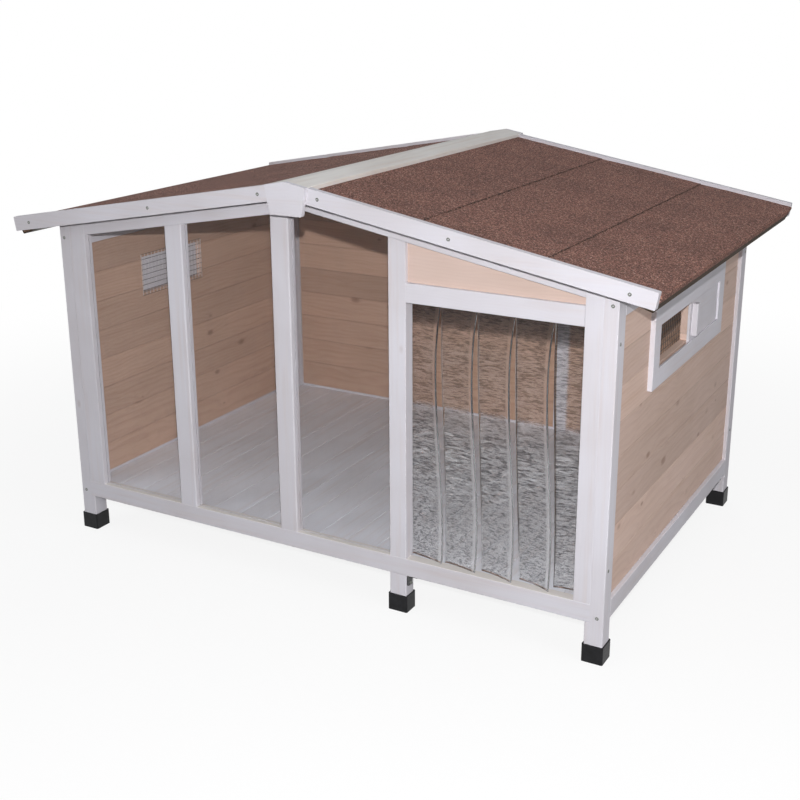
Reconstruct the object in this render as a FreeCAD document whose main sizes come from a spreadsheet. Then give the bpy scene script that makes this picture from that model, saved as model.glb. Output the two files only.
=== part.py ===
import FreeCAD, Part
import math
import os
import re
import Sketcher

# A timber dog house with glazed front bays, a strip-curtain door, sliding side vents and a
# felted saddle roof.  Millimetres.  X runs along the front, -Y is the front, +Z is up, and the
# origin lies on the ground below the middle of the house.

doc = FreeCAD.newDocument("DogHouse")

SIZES = (
    # posts, legs and feet
    ("house_width", 1316.0),
    ("house_depth", 895.0),
    ("post_size", 38.0),
    ("post_face", 28.2),
    ("post_round", 2.0),
    ("mid_leg_width", 38.5),
    ("mid_leg_depth", 32.0),
    ("foot_height", 37.0),
    ("foot_wall", 3.0),
    ("foot_round", 3.0),
    # rails
    ("rail_bottom", 84.0),
    ("rail_height", 38.5),
    ("rail_thickness", 23.0),
    ("timber_round", 1.5),
    ("mullion_round", 3.0),
    # glazed front bays and door
    ("left_stile_width", 44.6),
    ("bay_width", 229.4),
    ("mullion_width", 45.0),
    ("centre_post_width", 44.0),
    ("door_post_width", 38.5),
    ("door_width", 364.5),
    ("right_stile_width", 34.8),
    ("door_height", 542.0),
    ("header_height", 39.0),
    ("header_thickness", 28.0),
    ("pane_front", 12.6),
    ("pane_thickness", 2.4),
    ("pane_play", 0.3),
    ("groove_depth", 7.0),
    ("groove_play", 1.0),
    # wall boards
    ("board_recess", 9.0),
    ("board_pitch", 70.2),
    ("board_bevel", 1.2),
    ("tongue_thickness", 4.0),
    ("tongue_height", 5.0),
    ("tongue_play", 0.2),
    # floor
    ("floor_drop", 5.5),
    ("floor_thickness", 14.0),
    ("bearer_width", 38.0),
    # roof
    ("roof_pitch", 10.0),
    ("roof_apex", 866.0),
    ("top_rail_height", 43.1),
    ("deck_thickness", 10.0),
    ("felt_thickness", 3.0),
    ("eave_overhang", 84.0),
    ("eave_drop", 34.0),
    ("eave_inset", 17.0),
    ("soffit_pitch", 19.0),
    ("soffit_gap", 14.0),
    ("gable_overhang", 38.0),
    ("barge_thickness", 14.0),
    ("barge_height", 32.3),
    ("barge_rise", 7.5),
    ("barge_proud", 1.0),
    ("barge_round", 2.0),
    ("cap_reach", 44.6),
    ("cap_thickness", 9.0),
    ("cap_play", 0.5),
    ("keystone_thickness", 10.0),
    ("keystone_top", 47.0),
    ("keystone_foot", 37.5),
    ("keystone_height", 65.5),
    ("keystone_round", 4.0),
    ("ridge_beam_width", 38.0),
    # side vents
    ("vent_setback", 214.0),
    ("vent_length", 493.0),
    ("vent_bottom", 490.0),
    ("vent_height", 164.0),
    ("vent_member", 38.0),
    ("vent_thickness", 10.0),
    ("hatch_setback", 240.0),
    ("hatch_length", 224.0),
    ("hatch_bottom", 530.0),
    ("hatch_height", 89.2),
    ("shutter_length", 232.0),
    ("shutter_thickness", 5.0),
    ("shutter_play", 0.3),
    ("shutter_overlap", 8.0),
    ("shutter_travel", 225.0),
    ("handle_setback", 14.0),
    ("handle_width", 16.0),
    ("handle_height", 70.0),
    ("handle_depth", 12.0),
    ("handle_round", 2.0),
    ("mesh_pitch", 12.7),
    ("mesh_wire", 1.2),
    # strip curtain
    ("strip_count", 5.0),
    ("strip_pitch", 78.4),
    ("strip_gap", 0.6),
    ("strip_thickness", 2.0),
    ("strip_post_play", 0.4),
    ("strip_head_play", 0.3),
    ("strip_foot_gap", 1.2),
    ("curtain_shift", -2.0),
    ("heading_height", 34.0),
    ("batten_thickness", 12.0),
    # brackets below the middle of the long rails
    ("bracket_sheet", 2.0),
    ("bracket_width", 20.0),
    ("bracket_height", 26.0),
    ("bracket_reach", 24.0),
    ("bracket_inset", 3.0),
    ("bracket_round", 6.0),
    # how far a cut runs past a face
    ("cut_past", 1.0),
)
size = dict(SIZES)

sheet = doc.addObject("Spreadsheet::Sheet", "Sizes")
for row, (alias, value) in enumerate(SIZES, 1):
    sheet.set("A%d" % row, alias)
    sheet.set("B%d" % row, str(value))
    sheet.setAlias("B%d" % row, alias)
doc.recompute()

# ---------------------------------------------------------------- shared lengths, as formulas

HALF_W = "house_width / 2"
HALF_D = "house_depth / 2"
RAIL_TOP = "(rail_bottom + rail_height)"
HEADER_BOTTOM = "(rail_bottom + rail_height + door_height)"
HEADER_TOP = "(rail_bottom + rail_height + door_height + header_height)"
WALL_INNER_X = "(house_width / 2 - rail_thickness)"
WALL_OUTER_X = "(house_width / 2 - board_recess)"
FLOOR_TOP = "(rail_bottom + rail_height - floor_drop)"
SIDE_BOARDS = 8
SIDE_RAIL_BOTTOM = "(rail_bottom + rail_height + %d * board_pitch)" % SIDE_BOARDS
DECK_TOP = "(roof_apex + deck_thickness)"
FELT_TOP = "(roof_apex + deck_thickness + felt_thickness / cos(roof_pitch))"
RAIL_APEX = "(roof_apex - top_rail_height)"
ROOF_LENGTH = "(house_depth + 2 * gable_overhang)"
EAVE_REACH = "(house_width / 2 + eave_overhang)"
BARGE_REACH = "(house_width / 2 + eave_overhang + barge_proud)"
BIG = "roof_apex"

# places along the front: two equal bays from the left end, the door from the right end, and
# the bay between them takes what is left
STILE_END = "(post_face + left_stile_width - house_width / 2)"
MULLION_START = "(%s + bay_width)" % STILE_END
MULLION_END = "(%s + mullion_width)" % MULLION_START
CENTRE_START = "(%s + bay_width)" % MULLION_END
CENTRE_END = "(%s + centre_post_width)" % CENTRE_START
RIGHT_STILE_END = "(house_width / 2 - post_face)"
DOOR_END = "(%s - right_stile_width)" % RIGHT_STILE_END
DOOR_POST_END = "(%s - door_width)" % DOOR_END
DOOR_POST_START = "(%s - door_post_width)" % DOOR_POST_END


def formula(text):
    """Turn a formula in bare size names into one that reads the spreadsheet."""
    return re.sub(r"\b[a-z]+(?:_[a-z]+)+\b", lambda name: "Sizes." + name.group(0), text)


def bind(item, place, text):
    item.setExpression(place, formula(str(text)))


def below(apex, across):
    """Height of a roof plane with the given apex, at a distance from the ridge."""
    return "(%s - (%s) * tan(roof_pitch))" % (apex, across)


# ---------------------------------------------------------------- sketches and features

GUESS_RADIUS = 300.0
PLANE_TURNS = {
    "XY_Plane": FreeCAD.Rotation(),
    "XZ_Plane": FreeCAD.Rotation(FreeCAD.Vector(1, 0, 0), 90),
    "YZ_Plane": FreeCAD.Rotation(FreeCAD.Vector(1, 1, 1), 120),
}
# the sign of each plane's normal along its axis
PLANE_SIGN = {"XY_Plane": 1, "XZ_Plane": -1, "YZ_Plane": 1}


def draw_outline(sketch, corners, closed=True):
    """Draw straight lines through corners, each a pair of formulas."""
    count = len(corners)
    guesses = []
    for index in range(count):
        turn = 2 * math.pi * index / count
        guesses.append(FreeCAD.Vector(GUESS_RADIUS * math.cos(turn), GUESS_RADIUS * math.sin(turn), 0))
    lines = count if closed else count - 1
    for index in range(lines):
        sketch.addGeometry(Part.LineSegment(guesses[index], guesses[(index + 1) % count]), False)
    joins = lines if closed else lines - 1
    rules = [Sketcher.Constraint("Coincident", i, 2, (i + 1) % count, 1) for i in range(joins)]
    places = []
    for index, corner in enumerate(corners):
        line, end = (index, 1) if index < lines else (index - 1, 2)
        for kind, text in zip(("DistanceX", "DistanceY"), corner):
            guess = guesses[index].x if kind == "DistanceX" else guesses[index].y
            places.append((len(rules), text))
            rules.append(Sketcher.Constraint(kind, -1, 1, line, end, guess))
    sketch.addConstraint(rules)
    for place, text in places:
        bind(sketch, "Constraints[%d]" % place, text)


def rectangle(low_a, high_a, low_b, high_b):
    return [(low_a, low_b), (high_a, low_b), (high_a, high_b), (low_a, high_b)]


def new_body(label):
    body = doc.addObject("PartDesign::Body", label)
    body.Label = label
    return body


def body_sketch(body, plane, corners, start):
    """A sketch on one of the body's own origin planes, moved along that plane's axis."""
    sketch = body.newObject("Sketcher::SketchObject", body.Name + "_outline")
    support = [f for f in body.Origin.OriginFeatures if f.Role == plane][0]
    sketch.AttachmentSupport = [(support, "")]
    sketch.MapMode = "FlatFace"
    bind(sketch, "AttachmentOffset.Base.z", "%d * (%s)" % (PLANE_SIGN[plane], start))
    draw_outline(sketch, corners)
    return sketch


def add_pad(body, plane, corners, start, length):
    """Pad an outline along the positive axis, from start."""
    pad = body.newObject("PartDesign::Pad", body.Name + "_pad")
    pad.Profile = body_sketch(body, plane, corners, start)
    pad.Reversed = PLANE_SIGN[plane] < 0
    bind(pad, "Length", length)
    body.Tip = pad
    doc.recompute()
    return pad


def add_pocket(body, plane, corners, start, length):
    """Cut an outline along the positive axis, from start."""
    volume = body.Shape.Volume
    pocket = body.newObject("PartDesign::Pocket", body.Name + "_pocket")
    pocket.Profile = body_sketch(body, plane, corners, start)
    pocket.Reversed = PLANE_SIGN[plane] > 0
    bind(pocket, "Length", length)
    body.Tip = pocket
    doc.recompute()
    if body.Shape.Volume >= volume:
        raise RuntimeError("a pocket of %s cut nothing" % body.Label)
    return pocket


def chosen_edges(shape, keep):
    """Names of the straight edges that keep(direction, middle, box) accepts."""
    names = []
    for number, edge in enumerate(shape.Edges, 1):
        if edge.Curve.TypeId != "Part::GeomLine":
            continue
        direction = edge.tangentAt(edge.FirstParameter)
        if keep(direction, edge.CenterOfMass, shape.BoundBox):
            names.append("Edge%d" % number)
    return names


def add_round(body, keep, radius):
    """Round the chosen edges of the body."""
    base = body.Tip
    fillet = body.newObject("PartDesign::Fillet", body.Name + "_round")
    fillet.Base = (base, chosen_edges(base.Shape, keep))
    bind(fillet, "Radius", radius)
    body.Tip = fillet
    doc.recompute()
    return fillet


def near(first, second):
    return abs(first - second) < 0.01


def upright_corner(direction, middle, box):
    """Upright edges on the corners of the box."""
    on_x = near(middle.x, box.XMin) or near(middle.x, box.XMax)
    on_y = near(middle.y, box.YMin) or near(middle.y, box.YMax)
    return abs(direction.z) > 0.999 and on_x and on_y


def front_upright(direction, middle, box):
    return upright_corner(direction, middle, box) and near(middle.y, box.YMin)


def lying_x(direction, middle, box):
    """Edges along X on the front or back face."""
    return abs(direction.x) > 0.95 and (near(middle.y, box.YMin) or near(middle.y, box.YMax))


def lying_y(direction, middle, box):
    """Edges along Y on the outer and inner faces of a side rail."""
    return abs(direction.y) > 0.999


def timber(label, across, along, up, keep=None, radius="timber_round"):
    """A straight squared timber between three pairs of formulas, with its long edges eased."""
    body = new_body(label)
    length = "(%s) - (%s)" % (along[1], along[0])
    add_pad(body, "XZ_Plane", rectangle(across[0], across[1], up[0], up[1]), along[0], length)
    if keep:
        add_round(body, keep, radius)
    return body


def mirrored(label, source, normal):
    """A mirrored copy across a plane through the origin."""
    copy = doc.addObject("Part::Mirroring", label)
    copy.Source = source
    copy.Normal = normal
    copy.Label = label
    return copy


def group(label, members):
    """Several separate solids kept in one node."""
    compound = doc.addObject("Part::Compound", label)
    compound.Links = members
    compound.Label = label
    return compound


def free_sketch(name, plane, corners, closed=True):
    sketch = doc.addObject("Sketcher::SketchObject", name)
    sketch.Placement = FreeCAD.Placement(FreeCAD.Vector(), PLANE_TURNS[plane])
    draw_outline(sketch, corners, closed)
    return sketch


def extrusion(name, profile, direction, length, place):
    """An extrusion of a shared profile, moved to its place."""
    solid = doc.addObject("Part::Extrusion", name)
    solid.Base = profile
    solid.DirMode = "Custom"
    solid.Dir = direction
    solid.Solid = True
    bind(solid, "LengthFwd", length)
    for axis, text in zip("xyz", place):
        bind(solid, "Placement.Base.%s" % axis, text)
    return solid


def cutter(name, low, high):
    """A box to cut with, between two corners."""
    block = doc.addObject("Part::Box", name)
    for axis, side, a, b in zip("xyz", ("Length", "Width", "Height"), low, high):
        bind(block, "Placement.Base.%s" % axis, a)
        bind(block, side, "(%s) - (%s)" % (b, a))
    return block


def cut(name, base, tool):
    result = doc.addObject("Part::Cut", name)
    result.Base = base
    result.Tool = tool
    return result


X_AXIS = FreeCAD.Vector(1, 0, 0)
Y_AXIS = FreeCAD.Vector(0, 1, 0)
nodes = []


def keep_node(*pieces):
    nodes.extend(pieces)
    return pieces[0]


# ---------------------------------------------------------------- corner posts, legs and feet


def corner_post(label, near_y, far_y):
    """A right-hand corner post, its top cut to the roof."""
    body = new_body(label)
    inner = "(house_width / 2 - post_size)"
    outline = [(inner, "foot_wall"), (HALF_W, "foot_wall"),
               (HALF_W, below("roof_apex", HALF_W)), (inner, below("roof_apex", inner))]
    add_pad(body, "XZ_Plane", outline, near_y, "(%s) - (%s)" % (far_y, near_y))
    return body


front_right_post = corner_post("corner_post_front_right", "-" + HALF_D, "post_size - " + HALF_D)
# the front frame lies in a stopped rebate of the front posts
add_pocket(front_right_post, "XY_Plane",
           rectangle("house_width / 2 - post_size", "house_width / 2 - post_face",
                     "-" + HALF_D, "rail_thickness - " + HALF_D),
           "rail_bottom", BIG)
add_round(front_right_post, upright_corner, "post_round")
back_right_post = corner_post("corner_post_back_right", HALF_D + " - post_size", HALF_D)
add_round(back_right_post, upright_corner, "post_round")
keep_node(front_right_post, mirrored("corner_post_front_left", front_right_post, X_AXIS),
          back_right_post, mirrored("corner_post_back_left", back_right_post, X_AXIS))

front_leg = timber("mid_leg_front", (DOOR_POST_START, DOOR_POST_START + " + mid_leg_width"),
                   ("-" + HALF_D, "mid_leg_depth - " + HALF_D), ("foot_wall", "rail_bottom"),
                   upright_corner, "post_round")
back_leg = mirrored("mid_leg_back", front_leg, Y_AXIS)
keep_node(group("mid_legs", [front_leg, back_leg]))


def foot_cap(name, left, right, front, back):
    """A cup that a leg stands in, with one wall thickness all round and below."""
    body = new_body(name)
    outer = rectangle("(%s) - foot_wall" % left, "(%s) + foot_wall" % right,
                      "(%s) - foot_wall" % front, "(%s) + foot_wall" % back)
    add_pad(body, "XY_Plane", outer, "0", "foot_height")
    add_round(body, upright_corner, "foot_round")
    add_pocket(body, "XY_Plane", rectangle(left, right, front, back), "foot_wall", "foot_height")
    return body


right_corner_x = ("house_width / 2 - post_size", HALF_W)
mid_leg_x = (DOOR_POST_START, DOOR_POST_START + " + mid_leg_width")
front_corner_cap = foot_cap("foot_front_right", *right_corner_x, "-" + HALF_D, "post_size - " + HALF_D)
front_mid_cap = foot_cap("foot_front_mid", *mid_leg_x, "-" + HALF_D, "mid_leg_depth - " + HALF_D)
back_corner_cap = mirrored("foot_back_right", front_corner_cap, Y_AXIS)
keep_node(group("foot_caps", [
    front_corner_cap, front_mid_cap, back_corner_cap,
    mirrored("foot_front_left", front_corner_cap, X_AXIS),
    mirrored("foot_back_left", back_corner_cap, X_AXIS),
    mirrored("foot_back_mid", front_mid_cap, Y_AXIS)]))


# ---------------------------------------------------------------- bottom rails

front_y = ("-" + HALF_D, "rail_thickness - " + HALF_D)
between_posts_x = ("post_size - " + HALF_W, HALF_W + " - post_size")
between_posts_y = ("post_size - " + HALF_D, HALF_D + " - post_size")
bottom_rail_z = ("rail_bottom", RAIL_TOP)
groove_y = ("pane_front - pane_play - " + HALF_D,
            "pane_front + pane_thickness + pane_play - " + HALF_D)

front_rail = timber("bottom_rail_front", ("post_face - " + HALF_W, HALF_W + " - post_face"),
                    front_y, bottom_rail_z, lying_x)
add_pocket(front_rail, "XZ_Plane",
           rectangle(STILE_END + " - groove_depth", DOOR_POST_START + " + groove_depth",
                     RAIL_TOP + " - groove_depth", RAIL_TOP + " + cut_past"),
           groove_y[0], "pane_thickness + 2 * pane_play")
right_rail = timber("bottom_rail_right", (WALL_INNER_X, HALF_W), between_posts_y, bottom_rail_z,
                    lying_y)
keep_node(front_rail,
          timber("bottom_rail_back", between_posts_x, (HALF_D + " - rail_thickness", HALF_D),
                 bottom_rail_z, lying_x),
          right_rail, mirrored("bottom_rail_left", right_rail, X_AXIS))


# ---------------------------------------------------------------- front frame


def groove(body, low_x, high_x):
    """The upright groove that a pane's edge sits in."""
    add_pocket(body, "XY_Plane", rectangle(low_x, high_x, *groove_y), RAIL_TOP, BIG)


def stile_to_roof(label, start, end):
    """An upright of the front frame that runs up to the roof boards."""
    body = new_body(label)
    outline = [(start, RAIL_TOP), (end, RAIL_TOP),
               (end, below("roof_apex", "abs(%s)" % end)),
               (start, below("roof_apex", "abs(%s)" % start))]
    add_pad(body, "XZ_Plane", outline, front_y[0], "rail_thickness")
    add_round(body, front_upright, "timber_round")
    return body


def bay_post(label, start, end, thickness, keep, radius):
    """An upright of the front frame that ends below the sloping rail."""
    body = new_body(label)
    outline = [(start, RAIL_TOP), (end, RAIL_TOP),
               (end, below(RAIL_APEX, "abs(%s)" % end)),
               (start, below(RAIL_APEX, "abs(%s)" % start))]
    add_pad(body, "XZ_Plane", outline, front_y[0], thickness)
    add_round(body, keep, radius)
    return body


left_stile = stile_to_roof("window_stile_left", "(post_face - %s)" % HALF_W, STILE_END)
groove(left_stile, STILE_END + " - groove_depth", STILE_END + " + cut_past")
right_stile = stile_to_roof("door_stile_right", DOOR_END, RIGHT_STILE_END)
mullion = bay_post("window_mullion", MULLION_START, MULLION_END, "rail_thickness",
                   front_upright, "mullion_round")
groove(mullion, MULLION_START + " - cut_past", MULLION_START + " + groove_depth")
groove(mullion, MULLION_END + " - groove_depth", MULLION_END + " + cut_past")
door_post = bay_post("door_post", DOOR_POST_START, DOOR_POST_END,
                     "header_thickness - strip_post_play", front_upright, "timber_round")
groove(door_post, DOOR_POST_START + " - cut_past", DOOR_POST_START + " + groove_depth")

centre_post = bay_post("centre_post", CENTRE_START, CENTRE_END, "rail_thickness",
                       front_upright, "mullion_round")
groove(centre_post, CENTRE_START + " - cut_past", CENTRE_START + " + groove_depth")
groove(centre_post, CENTRE_END + " - groove_depth", CENTRE_END + " + cut_past")

header = timber("door_header", (DOOR_POST_END, DOOR_END),
                ("-" + HALF_D, "header_thickness - " + HALF_D), (HEADER_BOTTOM, HEADER_TOP),
                lying_x)
keep_node(left_stile, right_stile, mullion, door_post, centre_post, header)

gable_panel = new_body("gable_panel")
add_pad(gable_panel, "XZ_Plane",
        [(DOOR_POST_END, HEADER_TOP), (DOOR_END, HEADER_TOP),
         (DOOR_END, below(RAIL_APEX, DOOR_END)), (DOOR_POST_END, below(RAIL_APEX, DOOR_POST_END))],
        "board_recess - " + HALF_D, "rail_thickness - board_recess")
keep_node(gable_panel)


# ---------------------------------------------------------------- sloping and side top rails


def sloping_rail(label, end, start_y):
    """A rail below the roof boards, from the ridge to end."""
    reach = "abs(%s)" % end
    body = new_body(label)
    add_pad(body, "XZ_Plane",
            [("0", RAIL_APEX), (end, below(RAIL_APEX, reach)),
             (end, below("roof_apex", reach)), ("0", "roof_apex")],
            start_y, "rail_thickness")
    add_round(body, lambda direction, middle, box: lying_x(direction, middle, box)
              and middle.z < (box.ZMin + box.ZMax) / 2, "timber_round")
    return body


front_left_rail = sloping_rail("top_rail_front_left", STILE_END, front_y[0])
front_right_rail = sloping_rail("top_rail_front_right", DOOR_END, front_y[0])


def sloping_groove(body, start, end):
    """The groove below a sloping rail, for the top edge of the panes."""
    low = "%s - cut_past"
    add_pocket(body, "XZ_Plane",
               [(start, low % below(RAIL_APEX, "abs(%s)" % start)),
                (end, low % below(RAIL_APEX, "abs(%s)" % end)),
                (end, "%s + groove_depth" % below(RAIL_APEX, "abs(%s)" % end)),
                (start, "%s + groove_depth" % below(RAIL_APEX, "abs(%s)" % start))],
               groove_y[0], "pane_thickness + 2 * pane_play")


sloping_groove(front_left_rail, STILE_END, "0")
sloping_groove(front_right_rail, "0", DOOR_POST_START + " + groove_depth")
back_y = HALF_D + " - rail_thickness"
back_right_rail = sloping_rail("top_rail_back_right", between_posts_x[1], back_y)
keep_node(front_left_rail, front_right_rail,
          group("top_rails_back", [back_right_rail,
                                   mirrored("top_rail_back_left", back_right_rail, X_AXIS)]))

side_top_rail = new_body("top_rail_right")
add_pad(side_top_rail, "XZ_Plane",
        [(WALL_INNER_X, SIDE_RAIL_BOTTOM), (HALF_W, SIDE_RAIL_BOTTOM),
         (HALF_W, below("roof_apex", HALF_W)), (WALL_INNER_X, below("roof_apex", WALL_INNER_X))],
        between_posts_y[0], "house_depth - 2 * post_size")
add_round(side_top_rail, lambda direction, middle, box: lying_y(direction, middle, box)
          and near(middle.z, box.ZMin), "timber_round")
keep_node(side_top_rail, mirrored("top_rail_left", side_top_rail, X_AXIS))

back_stile = new_body("back_stile")
add_pad(back_stile, "XZ_Plane",
        [(DOOR_POST_START, RAIL_TOP), (DOOR_POST_END, RAIL_TOP),
         (DOOR_POST_END, below(RAIL_APEX, DOOR_POST_END)),
         (DOOR_POST_START, below(RAIL_APEX, DOOR_POST_START))],
        back_y, "rail_thickness")
add_round(back_stile, upright_corner, "timber_round")
keep_node(back_stile)


# ---------------------------------------------------------------- window panes


def pane(label, start, end, ridge=False):
    """A clear pane, set into the grooves round its bay."""
    left = "(%s - groove_depth + groove_play)" % start
    right = "(%s + groove_depth - groove_play)" % end
    top = "(%s + groove_depth - groove_play)" % RAIL_APEX
    bottom = "(%s - groove_depth + groove_play)" % RAIL_TOP
    outline = [(left, bottom), (right, bottom), (right, below(top, "abs(%s)" % right))]
    if ridge:
        outline.append(("0", top))
    outline.append((left, below(top, "abs(%s)" % left)))
    body = new_body(label)
    add_pad(body, "XZ_Plane", outline, "pane_front - " + HALF_D, "pane_thickness")
    return body


keep_node(pane("window_pane_left", STILE_END, MULLION_START),
          pane("window_pane_middle", MULLION_END, CENTRE_START),
          pane("window_pane_right", CENTRE_END, DOOR_POST_START))


# ---------------------------------------------------------------- matched boards


def board_outline(low, high, tongue):
    """Section of a matched board: first its thickness, then its width from the groove up."""
    middle = "((%s) + (%s)) / 2" % (low, high)
    half_groove = "(tongue_thickness / 2 + tongue_play)"
    groove_top = "tongue_height + tongue_play"
    corners = [
        (low, "board_bevel"),
        (low + " + board_bevel", "0"),
        ("%s - %s" % (middle, half_groove), "0"),
        ("%s - %s" % (middle, half_groove), groove_top),
        ("%s + %s" % (middle, half_groove), groove_top),
        ("%s + %s" % (middle, half_groove), "0"),
        (high + " - board_bevel", "0"),
        (high, "board_bevel"),
        (high, "board_pitch - board_bevel"),
        (high + " - board_bevel", "board_pitch"),
    ]
    if tongue:
        corners += [
            (middle + " + tongue_thickness / 2", "board_pitch"),
            (middle + " + tongue_thickness / 2", "board_pitch + tongue_height"),
            (middle + " - tongue_thickness / 2", "board_pitch + tongue_height"),
            (middle + " - tongue_thickness / 2", "board_pitch"),
        ]
    corners += [(low + " + board_bevel", "board_pitch"), (low, "board_pitch - board_bevel")]
    return corners


def board_height(index):
    return "%s + %d * board_pitch" % (RAIL_TOP, index)


side_section = free_sketch("side_board_section", "XZ_Plane",
                           board_outline(WALL_INNER_X, WALL_OUTER_X, True))
side_top_section = free_sketch("side_top_board_section", "XZ_Plane",
                               board_outline(WALL_INNER_X, WALL_OUTER_X, False))
hatch_y = ("hatch_setback - " + HALF_D, "hatch_setback + hatch_length - " + HALF_D)
hatch_z = ("hatch_bottom", "hatch_bottom + hatch_height")
hatch_cut = cutter("hatch_cut", (WALL_INNER_X + " - cut_past", hatch_y[0], hatch_z[0]),
                   (HALF_W, hatch_y[1], hatch_z[1]))


def side_board(index):
    """One board of the right wall between the posts."""
    top = index == SIDE_BOARDS - 1
    section = side_top_section if top else side_section
    return extrusion("side_board_%d" % (index + 1), section, Y_AXIS,
                     "house_depth - 2 * post_size", ("0", between_posts_y[0], board_height(index)))


def side_wall():
    """The boards of the right wall: the whole ones, and those cut round the vent hatch."""
    low = size["rail_bottom"] + size["rail_height"]
    hatch_low = size["hatch_bottom"]
    hatch_high = hatch_low + size["hatch_height"]
    whole = []
    notched = []
    for index in range(SIDE_BOARDS):
        board = side_board(index)
        board_low = low + index * size["board_pitch"]
        board_high = board_low + size["board_pitch"] + size["tongue_height"]
        if board_high > hatch_low and board_low < hatch_high:
            notched.append(cut("side_board_%d_cut" % (index + 1), board, hatch_cut))
        else:
            whole.append(board)
    return group("wall_boards_right", whole), group("hatch_boards_right", notched)


right_wall, right_hatch = side_wall()
keep_node(right_wall, mirrored("wall_boards_left", right_wall, X_AXIS),
          right_hatch, mirrored("hatch_boards_left", right_hatch, X_AXIS))

back_inner = "(%s - rail_thickness)" % HALF_D
back_outer = "(%s - board_recess)" % HALF_D
back_section = free_sketch("back_board_section", "YZ_Plane",
                           board_outline(back_inner, back_outer, True))
above_rails = extrusion(
    "above_back_rails",
    free_sketch("above_back_rails_outline", "XZ_Plane",
                [(between_posts_x[0], below(RAIL_APEX, "(%s)" % between_posts_x[1])),
                 ("0", RAIL_APEX),
                 (between_posts_x[1], below(RAIL_APEX, "(%s)" % between_posts_x[1])),
                 (between_posts_x[1], RAIL_APEX + " + 2 * board_pitch"),
                 (between_posts_x[0], RAIL_APEX + " + 2 * board_pitch")]),
    Y_AXIS, HALF_D, ("0", "0", "0"))


def back_boards(name, start, end, top):
    """The boards of one bay of the back wall, cut to the sloping rails."""
    low = size["rail_bottom"] + size["rail_height"]
    boards = []
    for index in range(math.ceil((top - low) / size["board_pitch"])):
        board = extrusion("%s_%d" % (name, index + 1), back_section, X_AXIS,
                          "(%s) - (%s)" % (end, start), (start, "0", board_height(index)))
        boards.append(cut("%s_%d_cut" % (name, index + 1), board, above_rails))
    return boards


# right side of the door post, as a number
door_post_end = (size["house_width"] / 2 - size["post_face"] - size["right_stile_width"]
                 - size["door_width"])
rail_apex = size["roof_apex"] - size["top_rail_height"]
right_bay_top = rail_apex - door_post_end * math.tan(math.radians(size["roof_pitch"]))
keep_node(group("wall_boards_back",
                back_boards("back_board_left", between_posts_x[0], DOOR_POST_START, rail_apex)
                + back_boards("back_board_right", DOOR_POST_END, between_posts_x[1],
                              right_bay_top)))


# ---------------------------------------------------------------- floor

FLOOR_BOARDS = 18
floor_y = ("rail_thickness - " + HALF_D, HALF_D + " - rail_thickness")
floor_pitch = "((house_width - 2 * rail_thickness) / %d)" % FLOOR_BOARDS
floor_section = free_sketch(
    "floor_board_section", "XZ_Plane",
    [("0", "0"), (floor_pitch + " - board_bevel", "0"), (floor_pitch, "board_bevel"),
     (floor_pitch, "floor_thickness - board_bevel"),
     (floor_pitch + " - board_bevel", "floor_thickness"),
     ("board_bevel", "floor_thickness"), ("0", "floor_thickness - board_bevel")])
floor_bottom = FLOOR_TOP + " - floor_thickness"


def floor_board(index):
    """One floor board; the outermost are notched round the posts."""
    board = extrusion("floor_board_%d" % (index + 1), floor_section, Y_AXIS,
                      "house_depth - 2 * rail_thickness",
                      ("%d * %s - %s" % (index, floor_pitch, WALL_INNER_X), floor_y[0],
                       floor_bottom))
    if index in (0, FLOOR_BOARDS - 1):
        low_x = "-" + HALF_W if index == 0 else between_posts_x[1]
        high_x = between_posts_x[0] if index == 0 else HALF_W
        for end, start_y, stop_y in (("front", "-" + HALF_D, between_posts_y[0]),
                                     ("back", between_posts_y[1], HALF_D)):
            notch = cutter("floor_notch_%d_%s" % (index + 1, end),
                           (low_x, start_y, "rail_bottom"), (high_x, stop_y, RAIL_TOP))
            board = cut("floor_board_%d_%s" % (index + 1, end), board, notch)
    return board


keep_node(group("floor_boards", [floor_board(index) for index in range(FLOOR_BOARDS)]))

front_bearer = timber("floor_bearer_front", between_posts_x,
                      (floor_y[0], floor_y[0] + " + bearer_width"), ("rail_bottom", floor_bottom))
middle_bearer = timber("floor_bearer_middle", ("-" + WALL_INNER_X, WALL_INNER_X),
                       ("-bearer_width / 2", "bearer_width / 2"), ("rail_bottom", floor_bottom))
keep_node(group("floor_bearers", [front_bearer, middle_bearer,
                                  mirrored("floor_bearer_back", front_bearer, Y_AXIS)]))


# ---------------------------------------------------------------- roof


def roof_prism(label, outline, start_y, length):
    body = new_body(label)
    add_pad(body, "XZ_Plane", outline, start_y, length)
    return body


roof_front = "(-house_depth / 2 - gable_overhang)"
eave_top = below(DECK_TOP, EAVE_REACH)
lip_x = "(%s - eave_inset * deck_thickness / eave_drop)" % EAVE_REACH
nose_x = "(%s - eave_inset)" % EAVE_REACH
nose_z = "(%s - eave_drop)" % eave_top
soffit_x = "(house_width / 2 + soffit_gap)"
soffit_z = "(%s + (%s - %s) * tan(soffit_pitch))" % (nose_z, nose_x, soffit_x)

deck_board = roof_prism("roof_boards_right",
                        [("0", "roof_apex"), (lip_x, below("roof_apex", lip_x)),
                         (EAVE_REACH, eave_top), ("0", DECK_TOP)],
                        roof_front, ROOF_LENGTH)
eave_batten = roof_prism("eave_batten_right",
                         [(soffit_x, soffit_z), (nose_x, nose_z),
                          (lip_x, below("roof_apex", lip_x)),
                          (soffit_x, below("roof_apex", soffit_x))],
                         roof_front, ROOF_LENGTH)
right_deck = keep_node(group("roof_deck_right", [deck_board, eave_batten]))
keep_node(mirrored("roof_deck_left", right_deck, X_AXIS))

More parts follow.
